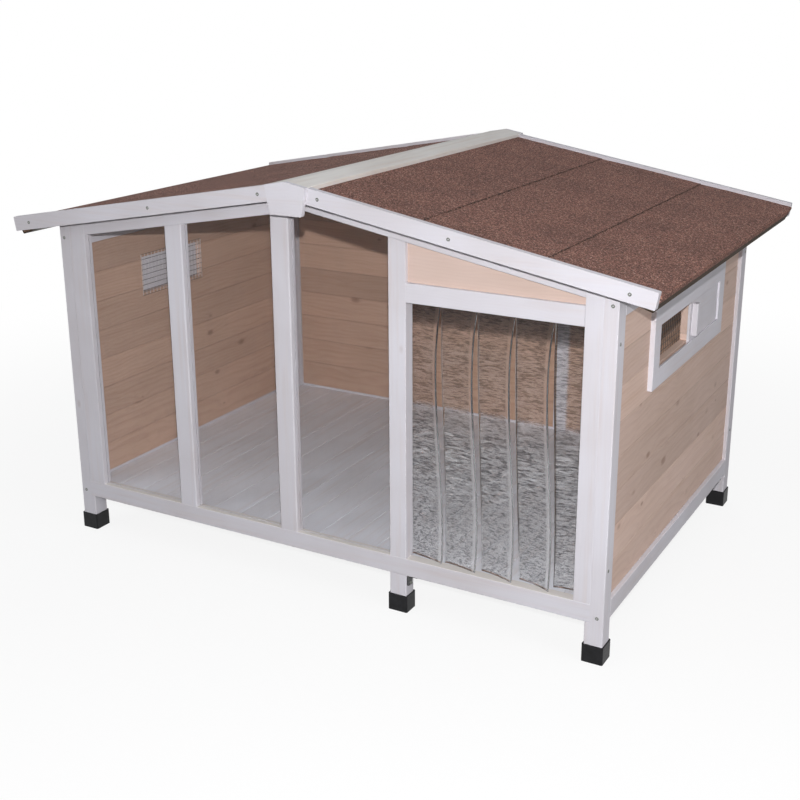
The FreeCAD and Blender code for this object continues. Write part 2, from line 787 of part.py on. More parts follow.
# the felt lies on the deck, folds round the eave and returns below it
felt_line = free_sketch("felt_line", "XZ_Plane",
                        [("0", DECK_TOP), (EAVE_REACH, eave_top), (nose_x, nose_z),
                         (soffit_x, soffit_z)], closed=False)
felt_section = doc.addObject("Part::Offset2D", "felt_section")
felt_section.Source = felt_line
felt_section.Join = "Arc"
felt_section.Mode = "Skin"
felt_section.Fill = True
bind(felt_section, "Value", "felt_thickness")
right_felt = extrusion("roof_felt_right", felt_section, Y_AXIS, ROOF_LENGTH,
                       ("0", roof_front, "0"))
keep_node(right_felt, mirrored("roof_felt_left", right_felt, X_AXIS))

cap_underside = FELT_TOP
barge_top = "(%s + barge_rise)" % FELT_TOP
cap_edge = "(cap_reach + cap_thickness * sin(roof_pitch))"
notch_x = "(cap_reach + cap_thickness * sin(roof_pitch) + cap_play)"
end_x = "(%s - barge_height * sin(roof_pitch))" % BARGE_REACH
end_z = "(%s - barge_height * cos(roof_pitch))" % below(barge_top, BARGE_REACH)
barge = roof_prism("barge_board_front_right",
                   [("0", "%s - barge_height / cos(roof_pitch)" % barge_top), (end_x, end_z),
                    (BARGE_REACH, below(barge_top, BARGE_REACH)),
                    (notch_x, below(barge_top, notch_x)),
                    (notch_x, below(cap_underside, notch_x)), ("0", cap_underside)],
                   roof_front + " - barge_thickness", "barge_thickness")


def barge_end(direction, middle, box):
    """The two corners at the low end of a barge board."""
    return abs(direction.y) > 0.999 and middle.x > box.XMax - size["barge_height"]


add_round(barge, barge_end, "barge_round")
back_barge = mirrored("barge_board_back_right", barge, Y_AXIS)
keep_node(barge, mirrored("barge_board_front_left", barge, X_AXIS),
          group("barge_boards_back", [back_barge,
                                      mirrored("barge_board_back_left", back_barge, X_AXIS)]))

cap_top = "(%s + cap_thickness / cos(roof_pitch))" % cap_underside
ridge_cap = roof_prism("ridge_cap_right",
                       [("0", cap_underside), ("cap_reach", below(cap_underside, "cap_reach")),
                        (cap_edge, "%s + cap_thickness * cos(roof_pitch)"
                         % below(cap_underside, "cap_reach")), ("0", cap_top)],
                       roof_front + " - barge_thickness",
                       ROOF_LENGTH + " + 2 * barge_thickness")
add_round(ridge_cap, lambda direction, middle, box: abs(direction.y) > 0.999
          and middle.x > box.XMax / 2 and middle.z > box.ZMin + 1, "timber_round")
keep_node(ridge_cap, mirrored("ridge_cap_left", ridge_cap, X_AXIS))

keystone_low = "(%s - keystone_height)" % cap_top
keystone = roof_prism("keystone_front",
                      [("-keystone_foot", keystone_low), ("keystone_foot", keystone_low),
                       ("keystone_top", below(cap_top, "keystone_top")), ("0", cap_top),
                       ("-keystone_top", below(cap_top, "keystone_top"))],
                      roof_front + " - barge_thickness - keystone_thickness",
                      "keystone_thickness")
add_round(keystone, lambda direction, middle, box: abs(direction.y) > 0.999
          and near(middle.z, box.ZMin), "keystone_round")
keep_node(group("keystones", [keystone, mirrored("keystone_back", keystone, Y_AXIS)]))

ridge_beam = roof_prism("ridge_beam",
                        [("-ridge_beam_width / 2", RAIL_APEX), ("ridge_beam_width / 2", RAIL_APEX),
                         ("ridge_beam_width / 2", below("roof_apex", "ridge_beam_width / 2")),
                         ("0", "roof_apex"),
                         ("-ridge_beam_width / 2", below("roof_apex", "ridge_beam_width / 2"))],
                        floor_y[0], "house_depth - 2 * rail_thickness")
keep_node(ridge_beam)


# ---------------------------------------------------------------- side vents

vent_y = ("vent_setback - " + HALF_D, "vent_setback + vent_length - " + HALF_D)
vent_z = ("vent_bottom", "vent_bottom + vent_height")
opening_y = (vent_y[0] + " + vent_member", vent_y[1] + " - vent_member")
opening_z = (vent_z[0] + " + vent_member", vent_z[1] + " - vent_member")
shutter_z = (opening_z[0] + " - shutter_overlap", opening_z[1] + " + shutter_overlap")
track_y = (hatch_y[1] + " - shutter_travel - shutter_play",
           hatch_y[1] + " + shutter_length + shutter_play")
shutter_x = (WALL_OUTER_X + " + shutter_play", WALL_OUTER_X + " + shutter_play + shutter_thickness")

vent_frame = new_body("vent_frame_right")
add_pad(vent_frame, "YZ_Plane", rectangle(*vent_y, *vent_z), WALL_OUTER_X, "vent_thickness")
add_pocket(vent_frame, "YZ_Plane",
           rectangle(track_y[0], track_y[1], shutter_z[0] + " - shutter_play",
                     shutter_z[1] + " + shutter_play"),
           WALL_OUTER_X, "shutter_thickness + 2 * shutter_play")
add_pocket(vent_frame, "YZ_Plane", rectangle(*opening_y, *opening_z), WALL_OUTER_X,
           "vent_thickness")
add_round(vent_frame, lambda direction, middle, box: near(middle.x, box.XMax), "timber_round / 2")
keep_node(vent_frame, mirrored("vent_frame_left", vent_frame, X_AXIS))


def shutter(label, start, mirror):
    """A sliding board between the wall and the vent frame, with its grip."""
    board = timber(label, shutter_x, (start, "(%s) + shutter_length" % start), shutter_z)
    grip_y = "(%s) + handle_setback" % start
    middle_z = "(%s + %s) / 2" % opening_z
    grip = timber(label.replace("vent_shutter", "shutter_handle"),
                  (shutter_x[1], shutter_x[1] + " + handle_depth"),
                  (grip_y, grip_y + " + handle_width"),
                  (middle_z + " - handle_height / 2", middle_z + " + handle_height / 2"),
                  lambda direction, middle, box: near(middle.x, box.XMax), "handle_round")
    if mirror:
        board.Label = label + "_source"
        grip.Label = board.Label.replace("vent_shutter", "shutter_handle")
        board = mirrored(label, board, X_AXIS)
        grip = mirrored(label.replace("vent_shutter", "shutter_handle"), grip, X_AXIS)
    return board, grip


keep_node(*shutter("vent_shutter_right", hatch_y[1], False))
keep_node(*shutter("vent_shutter_left", hatch_y[1] + " - shutter_travel", True))


def holed_sheet():
    """Welded wire mesh over the hatch, as one sheet with square holes."""
    pitch = size["mesh_pitch"]
    wire = size["mesh_wire"]
    rows = math.ceil(size["hatch_height"] / pitch)
    columns = math.ceil(size["hatch_length"] / pitch)
    length = columns * pitch + wire
    height = rows * pitch + wire
    start_y = size["hatch_setback"] + size["hatch_length"] / 2 - length / 2 - size["house_depth"] / 2
    start_z = size["hatch_bottom"] + size["hatch_height"] / 2 - height / 2
    outer_x = size["house_width"] / 2 - size["rail_thickness"]

    def loop(low_y, low_z, long_y, long_z):
        steps = ((0, 0), (long_y, 0), (long_y, long_z), (0, long_z), (0, 0))
        return Part.makePolygon([FreeCAD.Vector(outer_x, low_y + a, low_z + b) for a, b in steps])

    loops = [loop(start_y, start_z, length, height)]
    for column in range(columns):
        for line in range(rows):
            loops.append(loop(start_y + wire + column * pitch, start_z + wire + line * pitch,
                              pitch - wire, pitch - wire))
    face = Part.Face(loops[0])
    holes = Part.makeCompound([Part.Face(each) for each in loops[1:]])
    return face.cut(holes).extrude(FreeCAD.Vector(-wire, 0, 0))


right_mesh = doc.addObject("Part::Feature", "vent_mesh_right")
right_mesh.Shape = holed_sheet()
right_mesh.Label = "vent_mesh_right"
keep_node(right_mesh, mirrored("vent_mesh_left", right_mesh, X_AXIS))


# ---------------------------------------------------------------- strip curtain

curtain_middle = "((%s + %s) / 2 + curtain_shift)" % (DOOR_POST_END, DOOR_END)
curtain_half = "(strip_count * strip_pitch / 2)"
strip_front = "(header_thickness - %s)" % HALF_D
strip_back = "(header_thickness + strip_thickness - %s)" % HALF_D
heading_z = (HEADER_BOTTOM + " + strip_head_play",
             HEADER_BOTTOM + " + strip_head_play + heading_height")
heading_x = ("%s - %s" % (curtain_middle, curtain_half),
             "%s + %s" % (curtain_middle, curtain_half))
keep_node(timber("curtain_heading", heading_x, (strip_front, strip_back), heading_z),
          timber("curtain_batten", heading_x, (strip_back, strip_back + " + batten_thickness"),
                 heading_z, lying_x))

# how each strip hangs at four levels: the share of its length from the top, then how far its
# left and right edges wander to the right, how far they come forward, and how deep it bows, in
# hundredths of the strips' pitch
TOP_LEVEL = (0.0, 0.0, 0.0, 0.0, 0.0, 0.0)
UPPER_LEVEL = (0.23, 1.3, -11.5, 0.0, 3.8, 6.4)
LOWER_LEVEL = (0.60, 10.2, 3.8, -2.6, 8.9, 5.1)
STRIP_LEVELS = (
    (TOP_LEVEL, UPPER_LEVEL, LOWER_LEVEL, (1.0, 17.9, 16.6, -1.3, 19.1, 2.6)),
    (TOP_LEVEL, UPPER_LEVEL, LOWER_LEVEL, (1.0, 19.1, 14.0, 7.7, 24.2, 3.8)),
    (TOP_LEVEL, UPPER_LEVEL, LOWER_LEVEL, (1.0, 21.7, 16.6, 2.6, 28.1, 3.8)),
    (TOP_LEVEL, UPPER_LEVEL, LOWER_LEVEL, (1.0, 26.8, 16.6, 0.0, 26.8, 5.1)),
    (TOP_LEVEL, (0.23, 1.3, -7.7, 0.0, -0.6, 5.1), (0.60, 10.2, 0.0, -2.6, -1.3, 6.4),
     (1.0, 17.9, 6.4, -1.3, -1.3, 7.7)),
)
STRIP_ROWS = 9


def smooth_level(levels, share):
    """The level at a share of the strip's length, on cubics through the four given levels."""
    result = [share]
    for place in range(1, len(levels[0])):
        total = 0.0
        for level in levels:
            weight = 1.0
            for other in levels:
                if other is not level:
                    weight *= (share - other[0]) / (level[0] - other[0])
            total += weight * level[place] * size["strip_pitch"] / 100
        result.append(total)
    return result


def strip_row(left, right, level, middle_y, top_z, length):
    """Three points across the front of a strip and three across its back, at one level."""
    share, left_out, right_out, left_forward, right_forward, bow = level
    height = top_z - share * length
    left_y = middle_y - left_forward
    right_y = middle_y - right_forward
    across = ((left + left_out, left_y),
              ((left + left_out + right + right_out) / 2, (left_y + right_y) / 2 + bow),
              (right + right_out, right_y))
    half = size["strip_thickness"] / 2
    front = [FreeCAD.Vector(x, y - half, height) for x, y in across]
    back = [FreeCAD.Vector(x, y + half, height) for x, y in across]
    return front + back[::-1]


def folded_sheet(rows):
    """A closed solid of flat triangles through rows of points, each row one closed loop."""
    faces = []

    def triangle(*corners):
        faces.append(Part.Face(Part.makePolygon(corners + corners[:1])))

    count = len(rows[0])
    for upper, lower in zip(rows, rows[1:]):
        for place in range(count):
            after = (place + 1) % count
            triangle(upper[place], upper[after], lower[after])
            triangle(upper[place], lower[after], lower[place])
    for row in (rows[0], rows[-1]):
        for place in range(count // 2 - 1):
            triangle(row[place], row[place + 1], row[count - 2 - place])
            triangle(row[place], row[count - 2 - place], row[count - 1 - place])
    solid = Part.makeSolid(Part.makeShell(faces))
    if solid.Volume < 0:
        solid.reverse()
    return solid


def curtain_strip(index, levels):
    """One clear strip, flat below its clamped head and turned and bowed towards its foot."""
    door_middle = door_post_end + size["door_width"] / 2
    start = door_middle + size["curtain_shift"] - size["strip_count"] * size["strip_pitch"] / 2
    left = start + index * size["strip_pitch"] + size["strip_gap"] / 2
    right = left + size["strip_pitch"] - size["strip_gap"]
    middle_y = size["header_thickness"] + size["strip_thickness"] / 2 - size["house_depth"] / 2
    header_bottom = size["rail_bottom"] + size["rail_height"] + size["door_height"]
    top_z = header_bottom - size["strip_head_play"]
    length = top_z - size["rail_bottom"] - size["rail_height"] - size["strip_foot_gap"]
    rows = [strip_row(left, right, smooth_level(levels, row / (STRIP_ROWS - 1)), middle_y,
                      top_z, length) for row in range(STRIP_ROWS)]
    strip = doc.addObject("Part::Feature", "curtain_strip_%d" % (index + 1))
    strip.Shape = folded_sheet(rows)
    strip.Label = strip.Name
    return strip


for index, levels in enumerate(STRIP_LEVELS):
    keep_node(curtain_strip(index, levels))


# ---------------------------------------------------------------- brackets of the middle legs

leg_side = "(%s + mid_leg_width)" % DOOR_POST_START
bracket_y = "(bracket_inset - %s)" % HALF_D
bracket = new_body("leg_bracket_front")
add_pad(bracket, "XZ_Plane",
        [(leg_side, "rail_bottom"), (leg_side, "rail_bottom - bracket_height"),
         (leg_side + " + bracket_sheet", "rail_bottom - bracket_height"),
         (leg_side + " + bracket_sheet", "rail_bottom - bracket_sheet"),
         (leg_side + " + bracket_reach", "rail_bottom - bracket_sheet"),
         (leg_side + " + bracket_reach", "rail_bottom")],
        bracket_y, "bracket_width")
add_round(bracket, lambda direction, middle, box: abs(direction.x) > 0.999
          and near(middle.z, box.ZMin), "bracket_round")
keep_node(group("leg_brackets", [bracket, mirrored("leg_bracket_back", bracket, Y_AXIS)]))


# ---------------------------------------------------------------- checks and export

doc.recompute()
for item in doc.Objects:
    if "Invalid" in item.State or "Error" in item.State:
        raise RuntimeError("%s failed: %s" % (item.Label, item.State))
for node in nodes:
    if node.Shape.isNull() or not node.Shape.isValid() or not node.Shape.Solids:
        raise RuntimeError("%s has no valid solid" % node.Label)

os.makedirs("parts", exist_ok=True)
for node in nodes:
    node.Shape.exportStep("parts/%s.step" % node.Label)
print("%d nodes, %d solids" % (len(nodes), sum(len(node.Shape.Solids) for node in nodes)))
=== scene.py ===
import math
import random

import bmesh
import bpy
from mathutils import Matrix, Vector


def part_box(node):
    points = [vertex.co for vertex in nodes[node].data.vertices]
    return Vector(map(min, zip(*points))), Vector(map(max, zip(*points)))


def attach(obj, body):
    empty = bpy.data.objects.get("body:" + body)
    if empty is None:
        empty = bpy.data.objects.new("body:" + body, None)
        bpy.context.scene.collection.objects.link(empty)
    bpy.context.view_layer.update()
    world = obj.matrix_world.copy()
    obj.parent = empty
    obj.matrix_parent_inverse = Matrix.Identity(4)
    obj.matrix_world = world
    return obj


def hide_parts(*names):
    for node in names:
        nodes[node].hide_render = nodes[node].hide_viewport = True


# A timber dog house.  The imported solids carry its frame, walls, floor and panes; the roof's felt and
# deck, the clear strips, the wire mesh, the corner trims and the screws are modelled here.  Metres.

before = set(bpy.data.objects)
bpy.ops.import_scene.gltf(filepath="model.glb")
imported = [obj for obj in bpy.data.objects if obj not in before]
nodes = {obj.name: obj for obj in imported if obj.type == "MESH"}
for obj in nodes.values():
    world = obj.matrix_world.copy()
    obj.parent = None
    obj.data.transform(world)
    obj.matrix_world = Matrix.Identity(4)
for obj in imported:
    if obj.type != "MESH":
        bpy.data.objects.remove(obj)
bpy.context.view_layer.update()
MM = 0.001

# ---------------------------------------------------------------- sizes shared with the solids

HOUSE_WIDTH = 1316 * MM
HOUSE_FRONT = -447.5 * MM
RAIL_TOP = 122.5 * MM
BOARD_PITCH = 70.2 * MM
DECK_PITCH = 95 * MM
FLOOR_INSET = 23 * MM
FLOOR_BOARDS = 18
FLOOR_PITCH = (HOUSE_WIDTH - 2 * FLOOR_INSET) / FLOOR_BOARDS
FLOOR_EDGE = FLOOR_INSET - HOUSE_WIDTH / 2
ROOF_PITCH = math.radians(10)
ROOF_TAN = math.tan(ROOF_PITCH)
ROOF_APEX = 866 * MM
DECK = 10 * MM
FELT = 3 * MM
EAVE_REACH = 742 * MM
EAVE_DROP = 26 * MM
EAVE_INSET = 13 * MM
EAVE_Z = ROOF_APEX + DECK - EAVE_REACH * ROOF_TAN
NOSE_X = EAVE_REACH - EAVE_INSET
NOSE_Z = EAVE_Z - EAVE_DROP
SOFFIT_TURN = math.radians(19)
ROOF_FRONT = -485.5 * MM
FELT_LAPS = (274 * MM, 527 * MM)
SOFFIT_X = 672 * MM
SOFFIT_Z = NOSE_Z + (NOSE_X - SOFFIT_X) * math.tan(SOFFIT_TURN)
MESH_PITCH = 12.7 * MM
STRIP_WIDTH = 77.8 * MM
RIPPLE_RELIEF = 0.06 * MM
HEADING_FOOT = 664.8 * MM


# ---------------------------------------------------------------- node materials


class Shading:
    """One material's nodes.  Every method returns an output socket."""

    def __init__(self, name):
        self.material = bpy.data.materials.new(name)
        self.material.use_nodes = True
        self.tree = self.material.node_tree
        self.tree.nodes.clear()
        coordinates = self.add("ShaderNodeTexCoord").outputs
        self.position = coordinates["Object"]
        self.normal = coordinates["Normal"]

    def add(self, kind, inputs=None, **settings):
        node = self.tree.nodes.new(kind)
        for key, value in settings.items():
            setattr(node, key, value)
        for key, value in (inputs or {}).items():
            self.set(node.inputs[key], value)
        return node

    def set(self, socket, value):
        if isinstance(value, bpy.types.NodeSocket):
            self.tree.links.new(value, socket)
        elif isinstance(value, tuple) and len(value) == 3 and socket.type == "RGBA":
            socket.default_value = (*value, 1.0)
        else:
            socket.default_value = value

    def math(self, operation, a, b=0.0, c=0.0):
        node = self.add("ShaderNodeMath", {0: a, 1: b, 2: c}, operation=operation)
        return node.outputs[0]

    def vector(self, operation, a, b=(0.0, 0.0, 0.0)):
        node = self.add("ShaderNodeVectorMath", {0: a, 1: b}, operation=operation)
        return node.outputs["Value"] if operation in ("LENGTH", "DOT_PRODUCT") else node.outputs[0]

    def split(self, vector):
        return self.add("ShaderNodeSeparateXYZ", {0: vector}).outputs

    def join(self, x, y, z):
        return self.add("ShaderNodeCombineXYZ", {0: x, 1: y, 2: z}).outputs[0]

    def mix(self, share, a, b):
        node = self.add("ShaderNodeMix", {"Factor": share}, data_type="RGBA")
        self.set(node.inputs[6], a)
        self.set(node.inputs[7], b)
        return node.outputs[2]

    def darken(self, color, share):
        """The colour times a number."""
        node = self.add("ShaderNodeMix", {"Factor": 1.0}, data_type="RGBA", blend_type="MULTIPLY")
        self.set(node.inputs[6], color)
        self.set(node.inputs[7], self.join(share, share, share))
        return node.outputs[2]

    def noise(self, vector, scale, detail=3.0, roughness=0.55, distortion=0.0):
        node = self.add("ShaderNodeTexNoise", {"Vector": vector, "Scale": scale, "Detail": detail,
                                               "Roughness": roughness, "Distortion": distortion})
        return node.outputs[0]

    def remap(self, value, low, high, to_low=0.0, to_high=1.0, smooth=True):
        kind = "SMOOTHSTEP" if smooth else "LINEAR"
        node = self.add("ShaderNodeMapRange", {0: value, 1: low, 2: high, 3: to_low, 4: to_high},
                        interpolation_type=kind)
        return node.outputs[0]

    def ramp(self, value, stops):
        """A colour ramp through (place, colour) stops."""
        node = self.add("ShaderNodeValToRGB", {0: value})
        elements = node.color_ramp.elements
        while len(elements) < len(stops):
            elements.new(0.5)
        for element, (place, color) in zip(elements, stops):
            element.position = place
            element.color = (*color, 1.0)
        return node.outputs[0]

    def random3(self, value):
        """Three random numbers for a number."""
        return self.add("ShaderNodeTexWhiteNoise", {"W": value}, noise_dimensions="1D").outputs["Color"]

    def bump(self, height, distance, strength=1.0, normal=None):
        inputs = {"Height": height, "Distance": distance, "Strength": strength}
        if normal is not None:
            inputs["Normal"] = normal
        return self.add("ShaderNodeBump", inputs).outputs[0]

    def surface(self, shader):
        self.add("ShaderNodeOutputMaterial", {0: shader})
        return self.material


# dark bitumen colour, partly painted shade: on the felt's downward faces and as a painted shadow at the
# foot of the drop
SHADED_BITUMEN = (0.040, 0.026, 0.016)
# painted shade along the felt's lap steps
LAP_SHADE = (0.022, 0.014, 0.010)
GRAIN_PER_METRE = 640.0
RINGS_PER_METRE = 165.0
SEAM_SHADE = 0.88
PINE_LIGHT = (0.62, 0.42, 0.27)
PINE_DARK = (0.42, 0.235, 0.13)
KNOT = (0.20, 0.095, 0.055)
RAW_CREAM = (0.78, 0.735, 0.67)
# the deck's pine colours, darkened as painted shade under the roof
DECK_SHADE_BROWN = (0.17, 0.10, 0.06)
DECK_SHADE_DARK = (0.09, 0.05, 0.03)
INNER_WASH = (0.72, 0.47, 0.40)


def timber(name, grain, wash, wash_color, seed, boards=None, knot_cell=(0.22, 0.075, 0.03),
           light=PINE_LIGHT, dark=PINE_DARK, contrast=1.0, raw=None, board_change=0.12,
           knots=1.0, inside=None):
    """Pine with rings, pores and knots under a wash.

    grain is the axis the fibres follow.  boards is (axis, start, pitch) where one node holds many
    boards, so that each gets its own cut of the tree.  raw is the sign of the up axis whose faces
    missed the wash.  inside is (axis, sign, share): faces that way get the thinner inner wash and
    that share of the tone, a painted shade of the inner faces.
    """
    s = Shading(name)
    axes = dict(zip("XYZ", s.split(s.position)))
    along = axes[grain]
    across, depth = [axes[axis] for axis in "XYZ" if axis != grain]
    number = float(seed)
    if boards:
        axis, start, pitch = boards
        number = s.math("ADD", s.math("FLOOR", s.math("DIVIDE", s.math(
            "SUBTRACT", axes[axis], start), pitch)), seed)
        if axis != [a for a in "XYZ" if a != grain][0]:
            across, depth = depth, across
    chance = s.random3(number)
    chances = s.split(chance)

    # place in the log: an unlike cut for every board
    log_along = s.math("ADD", along, s.math("MULTIPLY", chances[2], 7.0))
    log_across = s.math("ADD", across, s.math("MULTIPLY", chances[0], 3.0))
    log_depth = s.math("ADD", depth, s.math("MULTIPLY", chances[1], 3.0))
    log = s.join(log_along, log_across, log_depth)
    stretched = s.vector("MULTIPLY", log, (0.045, 1.0, 1.0))

    # knots, as ellipsoids scattered in the log
    cell = s.vector("DIVIDE", log, knot_cell)
    scatter = s.add("ShaderNodeTexVoronoi", {"Vector": cell, "Scale": 1.0, "Randomness": 0.9})
    offset = s.vector("MULTIPLY", s.vector("SUBTRACT", cell, scatter.outputs["Position"]),
                      (knot_cell[0] * 0.55, knot_cell[1], knot_cell[2]))
    knot_far = s.vector("LENGTH", offset)
    knot_dice = s.split(scatter.outputs["Color"])
    knot_size = s.math("MULTIPLY", s.remap(knot_dice[0], 0.12, 1.0, 0.0010, 0.0078), knots)
    knot = s.remap(s.math("DIVIDE", knot_far, knot_size), 0.40, 1.35, 0.72, 0.0)
    swirl = s.math("EXPONENT", s.math("MULTIPLY", knot_far, -70.0))

    # rings round a pith beside the board, bent by slow noise and round the knots
    pith_across = s.math("ADD", across, s.remap(chances[0], 0, 1, -0.09, 0.09, smooth=False))
    pith_depth = s.math("ADD", depth, s.remap(chances[1], 0, 1, 0.05, 0.14, smooth=False))
    radius = s.vector("LENGTH", s.join(0.0, pith_across, pith_depth))
    sway = s.noise(s.vector("MULTIPLY", log, (1.6, 7.0, 7.0)), 1.0, 2.0)
    radius = s.math("ADD", radius, s.math("MULTIPLY", sway, 0.045))
    radius = s.math("ADD", radius, s.math("MULTIPLY", swirl, 0.012))
    ring = s.math("FRACT", s.math("MULTIPLY", radius, RINGS_PER_METRE))
    ring = s.math("MULTIPLY", s.remap(ring, 0.25, 0.85), s.remap(ring, 0.88, 1.0, 1.0, 0.0))

    fibre = s.noise(stretched, 420.0, 4.0, 0.65)
    streak = s.noise(stretched, 75.0, 3.0, 0.6)
    cloud = s.noise(log, 5.0, 2.0)
    dark_share = s.math("ADD", s.math("MULTIPLY", ring, 0.42 * contrast),
                        s.remap(fibre, 0.35, 0.75, -0.12 * contrast, 0.30 * contrast))
    dark_share = s.math("ADD", dark_share, s.remap(streak, 0.3, 0.7, -0.1 * contrast, 0.32 * contrast))
    wood = s.mix(dark_share, light, dark)
    wood = s.mix(knot, wood, KNOT)

    cover = s.math("SUBTRACT", wash, s.remap(streak, 0.45, 0.8, 0.0, 0.16 * contrast))
    cover = s.math("SUBTRACT", cover, s.math("MULTIPLY", knot, 0.30 * knots))
    cover = s.math("ADD", cover, s.remap(cloud, 0.3, 0.7, -0.03, 0.03))
    if raw:
        upward = s.split(s.normal)[2]
        cover = s.math("MULTIPLY", cover, s.remap(s.math("MULTIPLY", upward, raw), 0.6, 0.9, 1.0, 0.35))
        wood = s.mix(s.remap(s.math("MULTIPLY", upward, raw), 0.6, 0.9), wood, RAW_CREAM)
    color = s.mix(cover, wood, wash_color)
    board_tone = s.remap(chances[2], 0, 1, 1.0 - board_change, 1.0 + board_change, smooth=False)
    tone = s.math("ADD", board_tone, s.remap(cloud, 0.3, 0.7, -0.035, 0.035))
    color = s.darken(color, tone)
    # painted shade: the inner faces keep only a share of the tone
    if inside:
        axis, sign, share = inside
        facing = s.remap(s.math("MULTIPLY", s.split(s.normal)["XYZ".index(axis)], sign), 0.3, 0.7)
        color = s.mix(facing, color, s.darken(s.mix(s.math("MULTIPLY", cover, 0.75), wood, INNER_WASH),
                                              s.math("MULTIPLY", tone, share)))
    if boards:
        axis, start, pitch = boards
        place = s.math("FRACT", s.math("DIVIDE", s.math("SUBTRACT", axes[axis], start), pitch))
        joint = s.math("MULTIPLY", s.math("MINIMUM", place, s.math("SUBTRACT", 1.0, place)), pitch)
        # painted shade: each board darkens towards its joints, where shade falls in the groove
        color = s.darken(color, s.remap(joint, 0.8 * MM, 2.6 * MM, SEAM_SHADE, 1.0))

    relief = s.math("ADD", s.math("MULTIPLY", fibre, 0.6), s.math("MULTIPLY", ring, -0.4))
    shader = s.add("ShaderNodeBsdfPrincipled", {
        "Base Color": color,
        "Roughness": s.remap(fibre, 0.3, 0.7, 0.54, 0.72),
        "Normal": s.bump(relief, 0.0004, 0.45)})
    shader.inputs["Specular IOR Level"].default_value = 0.3
    return s.surface(shader.outputs[0])


def felt_material():
    """Mineral granules pressed into bitumen felt."""
    s = Shading("roof_felt")
    grains = s.add("ShaderNodeTexVoronoi", {"Vector": s.position, "Scale": GRAIN_PER_METRE})
    dice = s.split(grains.outputs["Color"])
    clumps = s.noise(s.position, 240.0, 2.0, 0.7)
    patches = s.noise(s.position, 9.0, 3.0)
    tone = s.math("ADD", s.math("MULTIPLY", dice[0], 0.62),
                  s.remap(clumps, 0.3, 0.7, 0.0, 0.38))
    color = s.ramp(tone, [(0.0, (0.012, 0.010, 0.010)), (0.34, (0.10, 0.050, 0.040)),
                          (0.60, (0.27, 0.118, 0.088)), (0.84, (0.50, 0.27, 0.21)),
                          (1.0, (0.68, 0.56, 0.50))])
    color = s.darken(color, s.remap(patches, 0.3, 0.7, 0.88, 1.12))
    relief = s.math("SUBTRACT", s.math("MULTIPLY", dice[1], 0.6), grains.outputs["Distance"])
    # painted shade: the felt's downward faces get a dark bitumen colour, partly the felt's own
    # bitumen and partly painted shade, and a painted shadow band runs along the foot of the drop
    shaded_underside = s.remap(s.split(s.normal)[2], -0.78, -0.56, 1.0, 0.0)
    fold_shadow = s.remap(s.split(s.position)[2], NOSE_Z + 11 * MM, NOSE_Z + 15 * MM, 1.0, 0.0)
    color = s.mix(s.math("MAXIMUM", shaded_underside, fold_shadow), color, SHADED_BITUMEN)
    # painted shade: a dark broken line along each lap step, where the step's shade falls
    across = s.math("ABSOLUTE", s.split(s.position)[0])
    wander = s.remap(s.noise(s.position, 90.0, 3.0), 0.3, 0.7, -1.4 * MM, 1.4 * MM)
    broken = s.remap(s.noise(s.position, 150.0, 2.0), 0.40, 0.55, 0.25, 0.95)
    for lap in FELT_LAPS:
        off = s.math("ABSOLUTE", s.math("ADD", s.math("SUBTRACT", across, lap), wander))
        lap_shade = s.math("MULTIPLY", s.remap(off, 0.7 * MM, 2.0 * MM, 1.0, 0.0), broken)
        color = s.mix(lap_shade, color, LAP_SHADE)
    shader = s.add("ShaderNodeBsdfPrincipled", {
        "Base Color": color,
        "Roughness": s.remap(shaded_underside, 0, 1, 0.88, 0.55),
        "Normal": s.bump(relief, 0.0012, 0.7)})
    shader.inputs["Specular IOR Level"].default_value = 0.35
    return s.surface(shader.outputs[0])


def moulded_plastic():
    """Black plastic with a fine moulded grain."""
    s = Shading("foot_plastic")
    grain = s.noise(s.position, 1400.0, 2.0)
    cloud = s.noise(s.position, 60.0, 2.0)
    shader = s.add("ShaderNodeBsdfPrincipled", {
        "Base Color": s.mix(s.remap(cloud, 0.3, 0.7), (0.007, 0.007, 0.008), (0.013, 0.013, 0.015)),
        "Roughness": s.remap(grain, 0.3, 0.7, 0.36, 0.52),
        "Normal": s.bump(grain, 0.0002, 0.5)})
    shader.inputs["Specular IOR Level"].default_value = 0.2
    return s.surface(shader.outputs[0])


def metal(name, color, roughness, metallic=1.0):
    """Metal with small spots of unlike tone."""
    s = Shading(name)
    spots = s.noise(s.position, 260.0, 3.0)
    shader = s.add("ShaderNodeBsdfPrincipled", {
        "Base Color": s.darken(color, s.remap(spots, 0.3, 0.7, 0.75, 1.1)),
        "Roughness": s.remap(spots, 0.3, 0.7, roughness - 0.08, roughness + 0.12),
        "Normal": s.bump(spots, 0.0002, 0.3)})
    shader.inputs["Metallic"].default_value = metallic
    return s.surface(shader.outputs[0])


CLEAR_GLINT = 0.22
CLEAR_INDEX = 1.42
CLEAR_SKIN = (0.72, 0.73, 0.75)
PANE_TINT = (0.97, 0.97, 0.975)
PANE_PASSES = (0.96, 0.96, 0.962)
STRIP_PASSES = (0.965, 0.965, 0.965)


